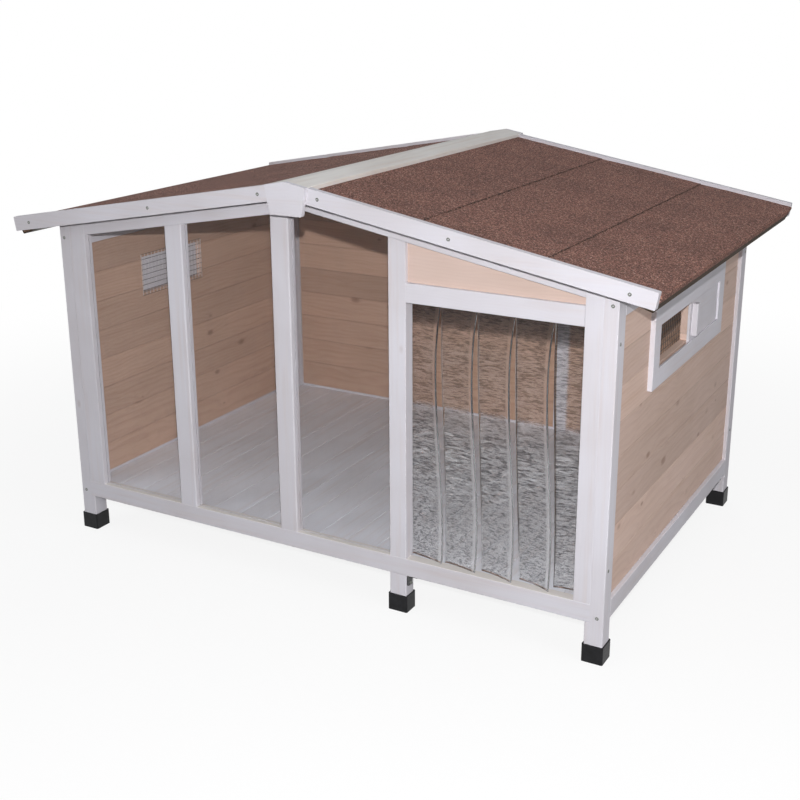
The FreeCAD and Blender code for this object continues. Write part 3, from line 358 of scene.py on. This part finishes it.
def clear_surface(s, tint, haze, normal, passes):
    """Clear plastic with a share of haze; light on its way to what is behind passes straight."""
    clear = s.add("ShaderNodeBsdfPrincipled", {"Base Color": tint, "Normal": normal})
    clear.inputs["Roughness"].default_value = 0.02
    clear.inputs["Transmission Weight"].default_value = 1.0
    clear.inputs["IOR"].default_value = CLEAR_INDEX
    clear.inputs["Specular Tint"].default_value = (CLEAR_GLINT, CLEAR_GLINT, CLEAR_GLINT, 1.0)
    skin = s.add("ShaderNodeBsdfPrincipled", {"Base Color": CLEAR_SKIN, "Normal": normal})
    skin.inputs["Roughness"].default_value = 0.8
    skin.inputs["Specular IOR Level"].default_value = 0.1
    body = s.add("ShaderNodeMixShader", {0: haze, 1: clear.outputs[0], 2: skin.outputs[0]})
    through = s.add("ShaderNodeBsdfTransparent", {"Color": passes})
    path = s.add("ShaderNodeLightPath").outputs
    falling = s.math("MAXIMUM", path["Is Shadow Ray"], path["Is Diffuse Ray"])
    whole = s.add("ShaderNodeMixShader", {0: falling, 1: body.outputs[0], 2: through.outputs[0]})
    return s.surface(whole.outputs[0])


def pane_material():
    """Flat clear sheet with a faint wave and faint wiping marks."""
    s = Shading("clear_pane")
    wave = s.noise(s.vector("MULTIPLY", s.position, (6.0, 6.0, 4.0)), 1.0, 1.0)
    marks = s.noise(s.vector("MULTIPLY", s.position, (60.0, 60.0, 22.0)), 1.0, 4.0, 0.6, 0.8)
    haze = s.remap(marks, 0.45, 0.75, 0.002, 0.014)
    return clear_surface(s, PANE_TINT, haze, s.bump(wave, 0.00004), PANE_PASSES)


STRIP_GRAIN_BELOW = (0.14, 0.36)
STRIP_LOWER_ZONE = (0.36, 0.46)
STRIP_CLEAR_ABOVE = (0.56, 0.60)
LEFT_BORDER = (1 * MM, 3 * MM)
RIGHT_BORDER = (STRIP_WIDTH - 13 * MM, STRIP_WIDTH - 8 * MM)


def strip_material():
    """Soft clear sheet, rolled with fine level ripples that stop short of its borders."""
    s = Shading("clear_pvc")
    across = s.add("ShaderNodeAttribute", attribute_name="across").outputs["Fac"]
    left_border = s.remap(across, *LEFT_BORDER, 1.0, 0.0)
    right_border = s.remap(across, *RIGHT_BORDER)
    rippled = s.math("SUBTRACT", 1.0, s.math("MAXIMUM", left_border, right_border))
    plain = s.math("SUBTRACT", 1.0, rippled)

    wide = s.noise(s.vector("MULTIPLY", s.position, (42.0, 1.0, 240.0)), 1.0, 3.0, 0.6, 0.4)
    long = s.noise(s.vector("MULTIPLY", s.position, (80.0, 1.0, 520.0)), 1.0, 3.0, 0.65, 0.2)
    short = s.noise(s.vector("MULTIPLY", s.position, (140.0, 1.0, 600.0)), 1.0, 4.0, 0.7)
    height = s.split(s.position)[2]
    low = s.remap(height, *STRIP_GRAIN_BELOW, 1.0, 0.0)
    ripple = s.math("ADD", s.math("MULTIPLY", long, 0.6), s.math("MULTIPLY", wide, 0.4))
    ripple = s.math("ADD", s.math("MULTIPLY", short, low),
                    s.math("MULTIPLY", ripple, s.math("SUBTRACT", 1.0, low)))

    # painted light and shade: the ripples' refraction of light and dark surroundings is painted into
    # the tint, darker in the troughs than on the crests, and darker in the troughs low down
    dark = s.math("ADD", 0.40, s.math("MULTIPLY", s.remap(height, *STRIP_LOWER_ZONE), 0.13))
    shade = s.remap(ripple, 0.39, 0.60)
    tone = s.math("ADD", dark, s.math("MULTIPLY", shade, s.math("SUBTRACT", 0.98, dark)))
    tone = s.math("ADD", s.math("MULTIPLY", tone, rippled), s.math("MULTIPLY", plain, 0.97))
    # painted shadow: the tint darkens towards the heading, where the header's shadow falls on the back
    # wall seen through the strips
    tone = s.math("MULTIPLY", tone,
                  s.remap(height, HEADING_FOOT - 45 * MM, HEADING_FOOT - 15 * MM, 1.0, 0.62))

    # painted glints: a milky share on the crests, more of it low down, and along the plain border,
    # standing in for highlights on the ripples
    painted_glint = s.math("MULTIPLY", s.remap(ripple, 0.44, 0.70),
                  s.remap(height, *STRIP_LOWER_ZONE, 0.29, 0.09))
    border_glint = s.math("MULTIPLY", right_border, s.remap(height, *STRIP_LOWER_ZONE, 0.13, 0.02))
    painted_glint = s.math("ADD", s.math("MULTIPLY", painted_glint, rippled), border_glint)
    painted_glint = s.math("MULTIPLY", painted_glint, s.remap(height, *STRIP_CLEAR_ABOVE, 1.0, 0.12))
    relief = s.math("MULTIPLY", ripple, rippled)
    # the haze share is the painted glints plus an even faint haze
    return clear_surface(s, s.darken((1.0, 1.0, 1.0), tone), s.math("ADD", painted_glint, 0.012),
                         s.bump(relief, RIPPLE_RELIEF), STRIP_PASSES)


WHITE_WASH = (0.665, 0.655, 0.715)
CAP_WASH = (0.78, 0.79, 0.79)
FLOOR_WASH = (0.86, 0.905, 1.0)
WALL_WASH = (0.64, 0.50, 0.475)
GABLE_WASH = (0.65, 0.525, 0.50)

SQUARE_CELL = (0.26, 0.05, 0.05)
BOARD_CELL = (0.16, 0.06, 0.03)
PANEL_CELL = (0.3, 0.1, 0.05)
GRAIN_OF = {
    "Z": ["corner_post_front_left", "corner_post_front_right", "corner_post_back_left",
          "corner_post_back_right", "mid_legs", "window_stile_left", "window_mullion",
          "centre_post", "door_post", "door_stile_right", "back_stile",
          "shutter_handle_left", "shutter_handle_right"],
    "X": ["bottom_rail_front", "bottom_rail_back", "door_header", "top_rail_front_left",
          "top_rail_front_right", "top_rails_back", "barge_board_front_left",
          "barge_board_front_right", "barge_boards_back", "keystones"],
    "Y": ["bottom_rail_left", "bottom_rail_right", "top_rail_left", "top_rail_right",
          "vent_frame_left", "vent_frame_right", "vent_shutter_left", "vent_shutter_right"],
}
RAW_FACES = {"bottom_rail_front": 1, "keystones": -1}


def paint(node, material):
    """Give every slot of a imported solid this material."""
    obj = nodes[node]
    obj.data.materials.clear()
    obj.data.materials.append(material)


seed = 11
for axis, names in GRAIN_OF.items():
    for name in names:
        seed += 7
        paint(name, timber("white_" + name, axis, 0.93, WHITE_WASH, seed, knot_cell=SQUARE_CELL,
                           contrast=0.8, raw=RAW_FACES.get(name), board_change=0.02, knots=0.8))

WALL_BOARDS = ("Z", RAIL_TOP, BOARD_PITCH)
for side, inward, start in (("left", 1.0, 211), ("right", -1.0, 311)):
    side_boards = timber("boards_" + side, "Y", 0.62, WALL_WASH, start, WALL_BOARDS,
                         BOARD_CELL, contrast=0.8, knots=1.25, inside=("X", inward, 0.83))
    paint("wall_boards_" + side, side_boards)
    paint("hatch_boards_" + side, side_boards)
paint("wall_boards_back", timber("boards_back", "X", 0.62, WALL_WASH, 411, WALL_BOARDS,
                                 BOARD_CELL, contrast=0.8, knots=1.25,
                                 inside=("Y", -1.0, 0.84)))
FLOOR_LINES = ("X", FLOOR_EDGE, FLOOR_PITCH)
paint("floor_boards", timber("floor_boards", "Y", 0.88, FLOOR_WASH, 511, FLOOR_LINES, knots=0.6,
                             board_change=0.025))
paint("floor_bearers", timber("floor_bearers", "X", 0.3, FLOOR_WASH, 611))
paint("gable_panel", timber("gable_panel", "X", 0.72, GABLE_WASH, 711, knot_cell=PANEL_CELL,
                            contrast=0.6))
for side, start in (("left", 811), ("right", 911)):
    paint("ridge_cap_" + side, timber("cap_" + side, "Y", 0.80, CAP_WASH, start + 40,
                                      knot_cell=SQUARE_CELL, contrast=1.1))
paint("ridge_beam", timber("ridge_beam", "Y", 0.2, WALL_WASH, 1011))
paint("curtain_batten", timber("curtain_batten", "X", 0.2, WALL_WASH, 1111))
paint("foot_caps", moulded_plastic())
paint("leg_brackets", metal("black_steel", (0.02, 0.02, 0.022), 0.42, 0.0))

clear_pane = pane_material()
for name in ("window_pane_left", "window_pane_middle", "window_pane_right"):
    paint(name, clear_pane)
clear_pvc = strip_material()
paint("curtain_heading", clear_pvc)


# ---------------------------------------------------------------- mesh helpers


def mesh_piece(name, points, faces, material, smooth=True):
    """A linked mesh object with its faces turned outwards."""
    data = bpy.data.meshes.new(name)
    data.from_pydata(points, [], faces)
    data.update()
    bm = bmesh.new()
    bm.from_mesh(data)
    bmesh.ops.recalc_face_normals(bm, faces=bm.faces)
    bm.to_mesh(data)
    bm.free()
    for polygon in data.polygons:
        polygon.use_smooth = smooth
    obj = bpy.data.objects.new(name, data)
    bpy.context.scene.collection.objects.link(obj)
    data.materials.append(material)
    return obj


def loft(rows, closed=True, capped=True):
    """Points and faces through rows of points, each row one loop or one open line."""
    width = len(rows[0])
    points = [point for row in rows for point in row]
    faces = []
    for line in range(len(rows) - 1):
        for place in range(width if closed else width - 1):
            after = (place + 1) % width
            faces.append((line * width + place, line * width + after,
                          (line + 1) * width + after, (line + 1) * width + place))
    if capped:
        faces.append(tuple(range(width)))
        faces.append(tuple((len(rows) - 1) * width + place for place in reversed(range(width))))
    return points, faces


# ---------------------------------------------------------------- strip curtain

STRIP_PITCH = 78.4 * MM
STRIP_THICKNESS = 2 * MM
CURTAIN_LEFT = 214.75 * MM
STRIP_TOP = 664.2 * MM
STRIP_FOOT = 123.7 * MM
STRIP_Y = -418.5 * MM
STRIP_COLUMNS = 16
STRIP_LINES = 72

# share of the length, then in millimetres: left and right edge to the right, left and right edge
# forward, and the bow to the back
TOP_LEVEL = (0.0, 0.0, 0.0, 0.0, 0.0, 0.0)
UPPER_LEVEL = (0.23, 1.0, -9.0, 0.0, 3.0, 5.0)
LOWER_LEVEL = (0.60, 8.0, 3.0, -2.0, 7.0, 4.0)
STRIP_LEVELS = (
    (TOP_LEVEL, UPPER_LEVEL, LOWER_LEVEL, (1.0, 14.0, 13.0, -1.0, 15.0, 2.0)),
    (TOP_LEVEL, UPPER_LEVEL, LOWER_LEVEL, (1.0, 15.0, 11.0, 6.0, 19.0, 3.0)),
    (TOP_LEVEL, UPPER_LEVEL, LOWER_LEVEL, (1.0, 17.0, 13.0, 2.0, 22.0, 3.0)),
    (TOP_LEVEL, UPPER_LEVEL, LOWER_LEVEL, (1.0, 21.0, 13.0, 0.0, 21.0, 4.0)),
    (TOP_LEVEL, (0.23, 1.0, -6.0, 0.0, -0.5, 4.0), (0.60, 8.0, 0.0, -2.0, -1.0, 5.0),
     (1.0, 14.0, 5.0, -1.0, -1.0, 6.0)),
)


def smooth_level(levels, share):
    """The level at a share of the length, on cubics through the four given levels."""
    result = []
    for place in range(1, len(levels[0])):
        total = 0.0
        for level in levels:
            weight = 1.0
            for other in levels:
                if other is not level:
                    weight *= (share - other[0]) / (level[0] - other[0])
            total += weight * level[place] * MM
        result.append(total)
    return result


def strip_mesh(index):
    """One clear strip, turned and bowed towards its foot."""
    left = CURTAIN_LEFT + index * STRIP_PITCH + (STRIP_PITCH - STRIP_WIDTH) / 2
    rows = []
    for line in range(STRIP_LINES + 1):
        share = line / STRIP_LINES
        left_out, right_out, left_forward, right_forward, bow = smooth_level(STRIP_LEVELS[index], share)
        ends = (Vector((left + left_out, STRIP_Y - left_forward)),
                Vector((left + STRIP_WIDTH + right_out, STRIP_Y - right_forward)))
        height = STRIP_TOP + (STRIP_FOOT - STRIP_TOP) * share
        middle = []
        for column in range(STRIP_COLUMNS + 1):
            part = column / STRIP_COLUMNS
            point = ends[0].lerp(ends[1], part)
            point.y += bow * 4 * part * (1 - part)
            middle.append(point)
        rows.append([Vector((x, y, height)) for x, y in sheet_section(middle)])
    points, faces = loft(rows)
    piece = mesh_piece("clear_strip_%d" % (index + 1), points, faces, clear_pvc)
    one_way = [STRIP_WIDTH * column / STRIP_COLUMNS for column in range(STRIP_COLUMNS + 1)]
    across = piece.data.attributes.new("across", "FLOAT", "POINT")
    across.data.foreach_set("value", (one_way + one_way[::-1]) * (STRIP_LINES + 1))
    return piece


def sheet_section(middle):
    """Outline of a sheet round its middle line: the front, then the back the other way."""
    half = STRIP_THICKNESS / 2
    normals = []
    for place, point in enumerate(middle):
        along = middle[min(place + 1, len(middle) - 1)] - middle[max(place - 1, 0)]
        along.normalize()
        normals.append(Vector((along.y, -along.x)))
    front = [p + n * half for p, n in zip(middle, normals)]
    back = [p - n * half for p, n in zip(middle, normals)]
    return front + back[::-1]


for index in range(len(STRIP_LEVELS)):
    strip = strip_mesh(index)
    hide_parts("curtain_strip_%d" % (index + 1))
    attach(strip, "strip_%d" % (index + 1))


# ---------------------------------------------------------------- roof felt

LAP_STEP = 1.3 * MM
LAP_TAPER = 60 * MM
LAP_NOSE = 0.2 * MM
FELT_STEP = 24 * MM
FELT_WAVE = 0.09 * MM
FELT_LINES = 90
FOLD_STEPS = 4


def roof_z(x, lift):
    """Height above the rafters' line, square to the slope."""
    return ROOF_APEX + lift / math.cos(ROOF_PITCH) - x * ROOF_TAN


def felt_profile():
    """Outer line of the felt from the ridge round the eave to the soffit, in X and Z."""
    profile = [(0.0, roof_z(0.0, DECK + FELT))]
    start = 0.0
    edges = FELT_LAPS + (EAVE_REACH,)
    for edge in edges:
        steps = max(2, round((edge - start) / FELT_STEP))
        last = edge == edges[-1]
        for step in range(1, steps + 1):
            x = start + (edge - start) * step / steps
            sink = LAP_STEP * max(0.0, 1 - (x - start) / LAP_TAPER) if start else 0.0
            profile.append((x, roof_z(x, DECK + FELT - sink)))
        if not last:
            profile.append((edge + LAP_NOSE, roof_z(edge, DECK + FELT - LAP_STEP)))
        start = edge
    return profile


def folded_edge(x, z, first, last, skip=0):
    """Points of the felt's outer side round a corner, from one outward direction to another."""
    turns = [first + (last - first) * step / FOLD_STEPS for step in range(skip, FOLD_STEPS + 1)]
    return [(x + FELT * math.sin(turn), z + FELT * math.cos(turn)) for turn in turns]


def felt_piece(side, sign, material):
    """The felt of one slope, waved a little, from the ridge round the eave to the soffit."""
    top = felt_profile()
    drop_normal = math.pi - math.atan2(EAVE_DROP, EAVE_INSET)
    under_normal = math.pi + SOFFIT_TURN
    outer = top + folded_edge(EAVE_REACH, EAVE_Z, ROOF_PITCH, drop_normal, skip=1)
    outer += folded_edge(NOSE_X, NOSE_Z, drop_normal, under_normal)
    outer.append((SOFFIT_X + FELT * math.sin(under_normal), SOFFIT_Z + FELT * math.cos(under_normal)))
    inner = [(SOFFIT_X, SOFFIT_Z), (NOSE_X, NOSE_Z), (EAVE_REACH, EAVE_Z), (0.0, ROOF_APEX + DECK)]
    rolls = random.Random(31 if sign > 0 else 47)
    waves = [(rolls.uniform(3, 16), rolls.uniform(0, 6.3), rolls.uniform(2, 9)) for _ in range(6)]
    rows = []
    for line in range(FELT_LINES + 1):
        y = ROOF_FRONT - 2 * ROOF_FRONT * line / FELT_LINES
        row = []
        for place, (x, z) in enumerate(outer):
            lift = 0.0
            if place < len(top):
                lift = sum(math.sin(a * y + b + c * x) for a, b, c in waves) * FELT_WAVE
            row.append(Vector((sign * x, y, z + lift)))
        row += [Vector((sign * x, y, z)) for x, z in inner]
        rows.append(row)
    points, faces = loft(rows)
    piece = mesh_piece("felt_" + side, points, faces, material, smooth=False)
    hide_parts("roof_felt_" + side)
    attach(piece, "house")


def deck_piece(side, sign, start):
    """The boards under the felt, with the batten that carries the felt down at the eave."""
    profile = [(0.0, ROOF_APEX), (SOFFIT_X, ROOF_APEX - SOFFIT_X * ROOF_TAN), (SOFFIT_X, SOFFIT_Z),
               (NOSE_X, NOSE_Z), (EAVE_REACH, EAVE_Z), (0.0, ROOF_APEX + DECK)]
    rows = [[Vector((sign * x, y, z)) for x, z in profile] for y in (ROOF_FRONT, -ROOF_FRONT)]
    points, faces = loft(rows)
    # painted shade: the deck takes pine darkened as if in shade under the roof
    wood = timber("deck_" + side, "Y", 0.1, DECK_SHADE_BROWN, start, ("X", 0.0, DECK_PITCH),
                  light=DECK_SHADE_BROWN, dark=DECK_SHADE_DARK)
    piece = mesh_piece("deck_" + side, points, faces, wood, smooth=False)
    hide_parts("roof_deck_" + side)
    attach(piece, "house")


felt = felt_material()
for side, sign, start in (("right", 1, 911), ("left", -1, 811)):
    felt_piece(side, sign, felt)
    deck_piece(side, sign, start)


# ---------------------------------------------------------------- trims in the back corners

TRIM_START = 600 * MM
TRIM_END = 619.8 * MM
TRIM_FRONT = 415.5 * MM
TRIM_BACK = 424.3 * MM
TRIM_FOOT = 117.3 * MM
TRIM_TOP = 752 * MM
TRIM_ROUND = 1 * MM


def corner_trim(side, sign):
    """A narrow upright strip that covers the board ends beside the back post."""
    points = [Vector((sign * x, y, z)) for z in (TRIM_FOOT, TRIM_TOP)
              for x, y in ((TRIM_START, TRIM_FRONT), (TRIM_END, TRIM_FRONT), (TRIM_END, TRIM_BACK),
                           (TRIM_START, TRIM_BACK))]
    faces = [(0, 1, 2, 3), (4, 5, 6, 7), (0, 1, 5, 4), (1, 2, 6, 5), (2, 3, 7, 6), (3, 0, 4, 7)]
    wood = timber("white_trim_" + side, "Z", 0.93, WHITE_WASH, 1211 + sign, contrast=0.8)
    piece = mesh_piece("corner_trim_" + side, points, faces, wood, smooth=False)
    bm = bmesh.new()
    bm.from_mesh(piece.data)
    bmesh.ops.bevel(bm, geom=bm.edges, offset=TRIM_ROUND, segments=2, affect="EDGES")
    bm.to_mesh(piece.data)
    bm.free()
    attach(piece, "house")


corner_trim("right", 1)
corner_trim("left", -1)


# ---------------------------------------------------------------- wire mesh

WIRE_RADIUS = 0.55 * MM
MESH_X = 634.4 * MM
MESH_COLUMNS = 18
MESH_ROWS = 8
MESH_MIDDLE_Y = HOUSE_FRONT + 352 * MM
MESH_MIDDLE_Z = 574.6 * MM
WIRE_REACH = 0.6 * MM
WIRE_OFFSET = 0.3 * MM
ROD_SIDES = 8
ROD_FACES = ROD_SIDES + 2


def rod(points, faces, start, end):
    """Add a straight round wire to a list of points and faces."""
    along = (end - start).normalized()
    first = along.orthogonal().normalized()
    second = along.cross(first)
    base = len(points)
    for centre in (start, end):
        for side in range(ROD_SIDES):
            turn = 2 * math.pi * side / ROD_SIDES
            spoke = first * math.cos(turn) + second * math.sin(turn)
            points.append(centre + spoke * WIRE_RADIUS)
    for side in range(ROD_SIDES):
        after = (side + 1) % ROD_SIDES
        faces.append((base + side, base + after, base + ROD_SIDES + after, base + ROD_SIDES + side))
    faces.append(tuple(base + side for side in reversed(range(ROD_SIDES))))
    faces.append(tuple(base + ROD_SIDES + side for side in range(ROD_SIDES)))


def wire_mesh(side, sign, uprights, levels):
    """Welded mesh: the uprights lie outside the level wires."""
    points = []
    faces = []
    half_y = MESH_COLUMNS * MESH_PITCH / 2
    half_z = MESH_ROWS * MESH_PITCH / 2
    for column in range(MESH_COLUMNS + 1):
        y = MESH_MIDDLE_Y - half_y + column * MESH_PITCH
        x = sign * (MESH_X + WIRE_OFFSET)
        rod(points, faces, Vector((x, y, MESH_MIDDLE_Z - half_z - WIRE_REACH)),
            Vector((x, y, MESH_MIDDLE_Z + half_z + WIRE_REACH)))
    for row in range(MESH_ROWS + 1):
        z = MESH_MIDDLE_Z - half_z + row * MESH_PITCH
        x = sign * (MESH_X - WIRE_OFFSET)
        rod(points, faces, Vector((x, MESH_MIDDLE_Y - half_y - WIRE_REACH, z)),
            Vector((x, MESH_MIDDLE_Y + half_y + WIRE_REACH, z)))
    piece = mesh_piece("wires_" + side, points, faces, uprights)
    piece.data.materials.append(levels)
    upright_faces = (MESH_COLUMNS + 1) * ROD_FACES
    for number, polygon in enumerate(piece.data.polygons):
        polygon.material_index = 0 if number < upright_faces else 1
    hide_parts("vent_mesh_" + side)
    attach(piece, "house")


# painted light and shade: one galvanised wire in lit, half-lit and shaded colours, which differ between
# the two vents and between uprights and level wires
shaded_wire = metal("galvanised_wire", (0.055, 0.056, 0.055), 0.5, 0.4)
lit_wire = metal("wire_in_painted_light", (0.85, 0.84, 0.86), 0.6, 0.3)
wire_mesh("right", 1, shaded_wire, metal("wire_in_painted_half_shade", (0.16, 0.155, 0.15), 0.5))
wire_mesh("left", -1, lit_wire, shaded_wire)


# ---------------------------------------------------------------- screws


SCREW_RINGS = ((3.6 * MM, -0.2 * MM), (3.6 * MM, 0.35 * MM), (2.9 * MM, 0.7 * MM),
               (1.5 * MM, 0.75 * MM), (1.1 * MM, -0.1 * MM))
SCREW_SIDES = 20
BARGE_FACE = -499.5 * MM
FRONT = Vector((0.0, -1.0, 0.0))


def screw_head(name, place, axis, material):
    """A round head with a hollow middle, made of (radius, height) rings."""
    turn_to = Vector((0, 0, 1)).rotation_difference(axis).to_matrix().to_4x4()
    matrix = Matrix.Translation(place) @ turn_to
    rows = []
    for radius, height in SCREW_RINGS:
        turns = [2 * math.pi * side / SCREW_SIDES for side in range(SCREW_SIDES)]
        rows.append([matrix @ Vector((radius * math.cos(turn), radius * math.sin(turn), height))
                     for turn in turns])
    points, faces = loft(rows)
    head = mesh_piece(name, points, faces, material)
    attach(head, "house")


screws = [(Vector((x * MM, HOUSE_FRONT, z * MM)), FRONT)
          for x, z in ((-646, 708), (-645, 97), (646, 709), (645, 96))]
screws += [(Vector((x * MM, BARGE_FACE, z * MM)), FRONT)
           for x, z in ((-697, 746.7), (-352.3, 807.6), (-71, 858), (68, 858), (347.9, 808.3),
                        (692.1, 747.1))]
for sign in (1, -1):
    screws += [(Vector((sign * HOUSE_WIDTH / 2, y * MM, z * MM)), Vector((sign, 0.0, 0.0)))
               for y, z in ((-431.5, 637), (-433.5, 193), (434.5, 642), (426.5, 197))]
bracket_face = min(corner[1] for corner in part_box("leg_brackets"))
screws.append((Vector((240.5 * MM, bracket_face, 70.5 * MM)), FRONT))

dull_steel = metal("screw_steel", (0.20, 0.21, 0.19), 0.4)
for number, (place, axis) in enumerate(screws):
    screw_head("screw_%02d" % (number + 1), place, axis, dull_steel)


# ---------------------------------------------------------------- stage, lamps and camera

FLOOR_REACH = 14.0
FLOOR_BOUNCE = 0.12
FLOOR_SEEN = 0.9
SHADOW_NEAR = 0.9
SHADOW_FAR = 2.6
CLEAN_SHARE = 0.86
AMBIENT_LEVEL = 0.06
AMBIENT_OVERHEAD = 0.80
AMBIENT_STEEPNESS = 2.6


def backdrop_seen(tree):
    """1 for the rays that see the backdrop itself: from the camera, in gloss and through glass."""
    path = tree.nodes.new("ShaderNodeLightPath")
    seen = path.outputs["Is Camera Ray"]
    for name in ("Is Glossy Ray", "Is Transmission Ray"):
        either = tree.nodes.new("ShaderNodeMath")
        either.operation = "MAXIMUM"
        tree.links.new(seen, either.inputs[0])
        tree.links.new(path.outputs[name], either.inputs[1])
        seen = either.outputs[0]
    return seen


def studio_floor():
    """White where it is seen, with the house's shadow kept in a share that fades far away."""
    s = Shading("studio_floor")
    seen = backdrop_seen(s.tree)
    bounce = s.mix(seen, (FLOOR_BOUNCE,) * 3, (FLOOR_SEEN,) * 3)
    lit = s.add("ShaderNodeBsdfDiffuse", {"Color": bounce})
    clean = s.add("ShaderNodeEmission", {"Color": (1.0, 1.0, 1.0)})
    far = s.remap(s.vector("LENGTH", s.position), SHADOW_NEAR, SHADOW_FAR, CLEAN_SHARE, 1.0)
    share = s.math("MULTIPLY", seen, far)
    both = s.add("ShaderNodeMixShader", {0: share, 1: lit.outputs[0], 2: clean.outputs[0]})
    corners = [Vector((x * FLOOR_REACH, y * FLOOR_REACH, 0.0))
               for x, y in ((-1, -1), (1, -1), (1, 1), (-1, 1))]
    mesh_piece("studio_floor", corners, [(0, 1, 2, 3)], s.surface(both.outputs[0]))


def studio_world():
    """Soft light, stronger from overhead, and plain white where it is seen."""
    world = bpy.data.worlds.new("studio")
    bpy.context.scene.world = world
    world.use_nodes = True
    tree = world.node_tree
    tree.nodes.clear()
    place = tree.nodes.new("ShaderNodeTexCoord")
    axes = tree.nodes.new("ShaderNodeSeparateXYZ")
    tree.links.new(place.outputs["Generated"], axes.inputs[0])
    overhead = tree.nodes.new("ShaderNodeMapRange")
    for name, value in (("From Min", 0.0), ("From Max", 1.0), ("To Min", AMBIENT_LEVEL),
                        ("To Max", AMBIENT_OVERHEAD)):
        overhead.inputs[name].default_value = value
    steep = tree.nodes.new("ShaderNodeMath")
    steep.operation = "POWER"
    steep.inputs[1].default_value = AMBIENT_STEEPNESS
    tree.links.new(axes.outputs["Z"], steep.inputs[0])
    tree.links.new(steep.outputs[0], overhead.inputs["Value"])
    ambient = tree.nodes.new("ShaderNodeBackground")
    ambient.inputs["Color"].default_value = (0.95, 0.97, 1.0, 1.0)
    tree.links.new(overhead.outputs[0], ambient.inputs["Strength"])
    white = tree.nodes.new("ShaderNodeBackground")
    white.inputs["Color"].default_value = (1.0, 1.0, 1.0, 1.0)
    white.inputs["Strength"].default_value = 1.0
    both = tree.nodes.new("ShaderNodeMixShader")
    tree.links.new(backdrop_seen(tree), both.inputs[0])
    tree.links.new(ambient.outputs[0], both.inputs[1])
    tree.links.new(white.outputs[0], both.inputs[2])
    output = tree.nodes.new("ShaderNodeOutputWorld")
    tree.links.new(both.outputs[0], output.inputs[0])


studio_floor()
studio_world()

CAMERA_PLACE = Vector((1334.8, -2429.9, 1246.4)) * MM
AZIMUTH = math.radians(29.398)
DOWN = math.radians(17.497)
ROLL = math.radians(-0.232)
PHOTO_PIXELS = 800
FOCAL_PIXELS = 1219.02
MIDDLE_ROW = 369.17
SENSOR_WIDTH = 36.0

forward = Vector((-math.sin(AZIMUTH) * math.cos(DOWN), math.cos(AZIMUTH) * math.cos(DOWN),
                  -math.sin(DOWN)))
level_right = forward.cross(Vector((0, 0, 1))).normalized()
level_up = level_right.cross(forward)
right = math.cos(ROLL) * level_right + math.sin(ROLL) * level_up
up = -math.sin(ROLL) * level_right + math.cos(ROLL) * level_up
camera_data = bpy.data.cameras.new("camera")
camera_data.sensor_width = SENSOR_WIDTH
camera_data.lens = SENSOR_WIDTH * FOCAL_PIXELS / PHOTO_PIXELS
camera_data.shift_y = (MIDDLE_ROW - PHOTO_PIXELS / 2) / PHOTO_PIXELS
camera_data.clip_start = 0.05
camera_data.clip_end = 100.0
camera = bpy.data.objects.new("camera", camera_data)
bpy.context.scene.collection.objects.link(camera)
turn = Matrix((right, up, -forward)).transposed().to_4x4()
camera.matrix_world = Matrix.Translation(CAMERA_PLACE) @ turn
bpy.context.scene.camera = camera


KEY_RAISE = 0.118
KEY_TARGET = (0.15, 0.0, 0.42)
# name, place, target, size and power of the soft lamps that fill the sides
FILLS = (("side_fill", (3.2, -1.0, 0.9), (0.66, 0.0, 0.45), 1.6, 21.0),
         ("left_fill", (-2.5, -3.0, 1.2), (-0.3, -0.4, 0.45), 1.5, 17.0),
         ("back_fill", (-1.6, 4.0, 0.95), (0.0, 0.4, 0.4), 1.6, 22.0))


def lamp(name, place, target, size, power):
    """A round area lamp that faces its target."""
    data = bpy.data.lights.new(name, "AREA")
    data.shape = "DISK"
    data.size = size
    data.energy = power
    obj = bpy.data.objects.new(name, data)
    obj.location = place
    obj.rotation_euler = (Vector(target) - Vector(place)).to_track_quat("-Z", "Y").to_euler()
    bpy.context.scene.collection.objects.link(obj)
    return obj


lamp("key", CAMERA_PLACE + up * KEY_RAISE, KEY_TARGET, 0.03, 48.5)
for row in FILLS:
    fill = lamp(*row)
    fill.visible_glossy = False
    fill.visible_transmission = False

bpy.context.scene.view_settings.view_transform = "Standard"
